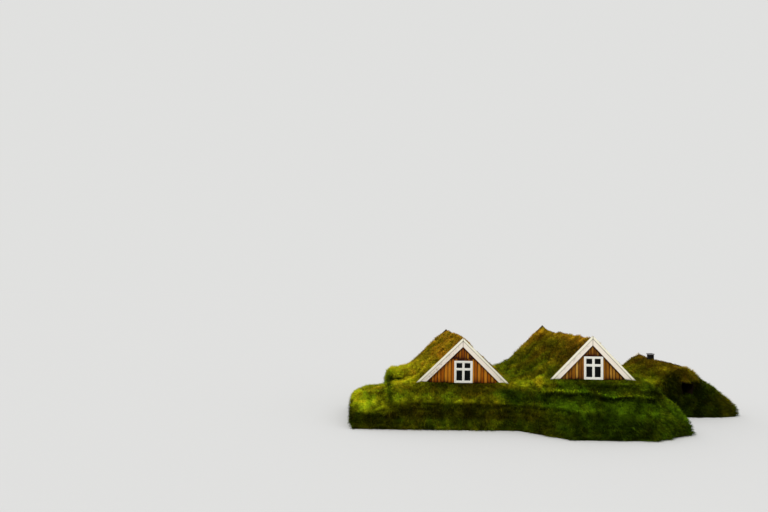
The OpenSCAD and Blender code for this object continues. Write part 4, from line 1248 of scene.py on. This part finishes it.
def upright_corners(x0, x1, z0, z1, y):
    return [(x0, y, z0), (x1, y, z0), (x1, y, z1), (x0, y, z1)]


def moulding(wide, deep):
    """The section of a casing, with both of its front edges cut off."""
    edge = deep - MOULDED
    return [(0, 0), (0, edge), (MOULDED, deep), (wide - MOULDED, deep), (wide, edge), (wide, 0)]


def bar(low, high):
    """A squared bar between two corners, as one part of two rings; its edges are rounded later."""
    (x0, y0, z0), (x1, y1, z1) = low, high
    ring = np.array([(x0, y0), (x1, y0), (x1, y1), (x0, y1)])
    return np.stack([np.column_stack([ring, np.full(4, z)]) for z in (z0, z1)])[None]


def window(name, out):
    """Casing, four casements round the panes, and the post and transom that part them."""
    low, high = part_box(name + "_window")
    face = low.y if out < 0 else high.y
    back = face - out * CASING_DEEP
    normal = (0, out, 0)
    shape = Shape(len(name))
    corners = upright_corners(low.x, high.x, low.z, high.z, back)
    shape.add(carried_round(corners, normal, moulding(CASING, CASING_DEEP)), closed=True)
    middle = (low.x + high.x) / 2
    transom = high.z - FRAME_LAP - UPPER_PANE - PANE_BAR / 2
    cover = PANE_BAR / 2 - STILE
    sides = ((low.x + CASING, middle - cover), (middle + cover, high.x - CASING))
    heights = ((low.z + CASING, transom - cover), (transom + cover, high.z - CASING))
    inner = STILE - PLAY
    stile = [
        (0, 0), (0, STILE_DEEP - STILE_EDGE), (STILE_EDGE, STILE_DEEP), (inner - PUTTY_WIDE, STILE_DEEP),
        (inner, PUTTY_DEEP), (inner, 0),
    ]
    for x0, x1 in sides:
        for z0, z1 in heights:
            leaf = upright_corners(x0 + PLAY, x1 - PLAY, z0 + PLAY, z1 - PLAY, back)
            shape.add(carried_round(leaf, normal, stile), closed=True)
    y0, y1 = sorted((back, back + out * POST_DEEP))
    shape.add(bar((middle - cover, y0, low.z + CASING), (middle + cover, y1, high.z - CASING)))
    for x0, x1 in sides:
        shape.add(bar((x0, y0, transom - cover), (x1, y1, transom + cover)))
    made = shape.make(name + "_window_casements", window_white, "white_paint", JOINERY_EDGE)
    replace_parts(made, name + "_window")


def doorway(house, gable):
    """A planked leaf with two battens behind it, a painted casing, strap hinges and a ring handle."""
    low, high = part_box(house + "_door")
    tall = high.z - low.z
    face = gable.face
    edges = np.linspace(low.x, high.x, LEAF_PLANKS + 1)
    strips = np.array([(a, b, low.z, high.z) for a, b in zip(edges, edges[1:])])
    leaf = Shape(3)
    rng = np.random.default_rng(len(house))
    points, stain = gable.planks(strips, face, LEAF_THICK, rng, proud=0.0)
    leaf.add(points, stain=stain)
    inside = face - LEAF_THICK
    for share in BATTENS:
        z = low.z + share * tall
        far_corner = (high.x - BATTEN_INSET, inside, z + BATTEN_HIGH)
        leaf.add(bar((low.x + BATTEN_INSET, inside - BATTEN_THICK, z), far_corner))
    made = leaf.make(house + "_door_planks", door_boards, "door_timber", JOINERY_EDGE)
    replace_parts(made, house + "_door")
    sides = (low.x - DOOR_CASING, high.x + DOOR_CASING)
    corners = upright_corners(*sides, low.z - DOOR_SILL, high.z + DOOR_CASING, face)
    casing = carried_round(corners, (0, 1, 0), moulding(DOOR_CASING, DOOR_CASING_DEEP))
    Shape(4).add(casing, closed=True).make(house + "_door_casing", window_white, "white_paint")
    fittings = Shape(5)
    post, tip = HINGE_ENDS
    for share in HINGES:
        fittings.add(strap(high.x - post, low.x + tip, face + HINGE_OUT, low.z + share * tall))
    ring = ring_handle(low.x + RING_INSET, face + RING_OUT, (low.z + high.z) / 2)
    fittings.add(ring, closed=True)
    fittings.make(house + "_door_iron", iron, None)


def strap(x0, x1, y, z):
    """A flat hinge that narrows from the post to a rounded end: its half height is HINGE_HALF less
    HINGE_NARROWS t, drawn in at the end by the root of 1 - t^12."""
    t = np.linspace(0, 1, 14)
    half = (HINGE_HALF - HINGE_NARROWS * t) * np.sqrt(np.maximum(1 - t**12, 0.02))
    section = np.array([(-0.004, -1), (0.003, -1), (0.004, 0), (0.003, 1), (-0.004, 1)])
    x = (x0 + (x1 - x0) * t)[:, None]
    return np.stack(np.broadcast_arrays(x, y + section[:, 0], z + half[:, None] * section[:, 1]), -1)[None]


def ring_handle(x, y, z):
    """A ring of iron: a circle carried round a circle."""
    turns = (np.linspace(0, 2 * np.pi, count, endpoint=False) for count in (28, 10))
    u, v = np.meshgrid(*turns, indexing="ij")
    out = RING + RING_IRON * np.cos(v)
    return np.stack([x + out * np.cos(u), y + RING_IRON * np.sin(v), z + out * np.sin(u)], -1)[None]


ENDS = (("left", "front"), ("right", "front"), ("left", "back"), ("right", "back"), ("kitchen", "back"))
gables = {f"{house}_{end}": Gable(house, end) for house, end in ENDS}
BOARD_FINISH = {"left_front": left_boards, "right_front": right_boards}
for name, gable in gables.items():
    windowed = name + "_window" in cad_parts
    if windowed:
        low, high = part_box(name + "_window")
        gable.openings.append((low.x + WINDOW_LAP, high.x - WINDOW_LAP, low.z, high.z - WINDOW_LAP))
    if gable.out > 0:
        low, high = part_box(name.replace("_back", "_door"))
        gable.openings.append((low.x - DOOR_POST, high.x + DOOR_POST, low.z - DOOR_FOOT, high.z + DOOR_POST))
    clad(gable, BOARD_FINISH.get(name, back_boards))
    barge_boards(gable)
    if windowed:
        window(name, gable.out)
for house in HOUSES:
    doorway(house, gables[house + "_back"])

# Chimney trim

# The folded strip: its thickness, how far it goes down and in, and how far its inner faces lie in from the
# flue's sides and over its top
FOLD_THICK = 0.0025
FOLD_DOWN = 0.055
FOLD_IN = 0.048
FOLD_OFF = 0.0005


def chimney_trim():
    """A folded strip of metal round the chimney's mouth: an angle section carried round its top edge."""
    low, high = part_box("kitchen_chimney")
    z = high.z
    corners = [(low.x, low.y, z), (high.x, low.y, z), (high.x, high.y, z), (low.x, high.y, z)]
    outside = FOLD_OFF - FOLD_THICK
    top = FOLD_OFF + FOLD_THICK
    section = [
        (outside, -FOLD_DOWN), (outside, top), (FOLD_IN, top), (FOLD_IN, FOLD_OFF), (FOLD_OFF, FOLD_OFF),
        (FOLD_OFF, -FOLD_DOWN),
    ]
    trim = Shape(9).add(carried_round(corners, (0, 0, 1), section), closed=True)
    trim.make("chimney_trim", flashing, None)


chimney_trim()

# CAD pieces that stay

# Corners of a CAD piece closer than this are joined before its edges are rounded
WELD = 0.0004
# The finishes: a word in the names of the nodes, the finish, the record's slot and how far edges are rounded
DRESSED = (
    ("rafters", old_timber, "old_timber", 0.004),
    ("wall_frame", old_timber, "old_timber", 0.004),
    ("hatch", smoked, "old_timber", 0.004),
    ("roof_boards", old_timber, "old_timber", 0.0),
    ("floor", floor_timber, "floor_timber", 0.0),
    ("gable", old_timber, "gable_timber", 0.0),
    ("glass", panes, "window_glass", 0.0),
    ("chimney", tarred, "tarred_timber", 0.003),
)


def dress(node, finish, bevel):
    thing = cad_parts[node]
    thing.data.materials.clear()
    thing.data.materials.append(finish)
    if bevel:
        weld = thing.modifiers.new("joined", "WELD")
        weld.merge_threshold = WELD
        round_edges(thing, bevel)


for node in TIMBER:
    for word, finish, slot, bevel in DRESSED:
        if word in node:
            dress(node, finish, bevel)

# Floor and light

PALE = (0.72, 0.72, 0.715, 1)
FLOOR_REACH = 400
# The backdrop, as light as the floor comes out, seen by the camera, in gloss and through glass
BACKDROP = (0.748, 0.7497, 0.7394, 1)
SKY = (0.97, 0.985, 1.0, 1)
SKY_STRENGTH = 0.72
# The sun: its strength, its width in degrees, its colour and the way its light goes
SUN_ENERGY = 1.6
SUN_WIDE = 15
SUN_COLOUR = (1.0, 0.97, 0.92)
SUN_WAY = Vector((0.55, 0.62, -0.75))


def make_stage():
    pale = Finish("pale floor", roughness=0.9, shine=0.0).paint(PALE)
    mesh = bpy.data.meshes.new("floor")
    far = FLOOR_REACH
    mesh.from_pydata([(-far, -far, 0), (far, -far, 0), (far, far, 0), (-far, far, 0)], [], [(0, 1, 2, 3)])
    mesh.materials.append(pale.material)
    new_object("floor", mesh)


def make_light():
    world = bpy.data.worlds.new("studio")
    bpy.context.scene.world = world
    world.use_nodes = True
    made = Nodes(world.node_tree)
    sky = made.tree.nodes["Background"]
    sky.inputs["Color"].default_value = SKY
    sky.inputs["Strength"].default_value = SKY_STRENGTH
    backdrop = made.node("Background", {"Color": BACKDROP})
    rays = made.node("LightPath").outputs
    seen = rays["Is Camera Ray"]
    for ray in ("Is Glossy Ray", "Is Transmission Ray"):
        seen = made.maths("MAXIMUM", seen, rays[ray])
    either = made.node("MixShader", {0: seen, 1: sky.outputs[0], 2: backdrop.outputs[0]})
    made.feed(made.tree.nodes["World Output"].inputs["Surface"], either.outputs[0])
    lamp = bpy.data.lights.new("soft key", "SUN")
    lamp.energy = SUN_ENERGY
    lamp.angle = np.radians(SUN_WIDE)
    lamp.color = SUN_COLOUR
    key = new_object("soft key", lamp)
    key.rotation_mode = "QUATERNION"
    key.rotation_quaternion = SUN_WAY.to_track_quat("-Z", "Y")


make_stage()
make_light()
bpy.context.scene.view_settings.view_transform = "Standard"
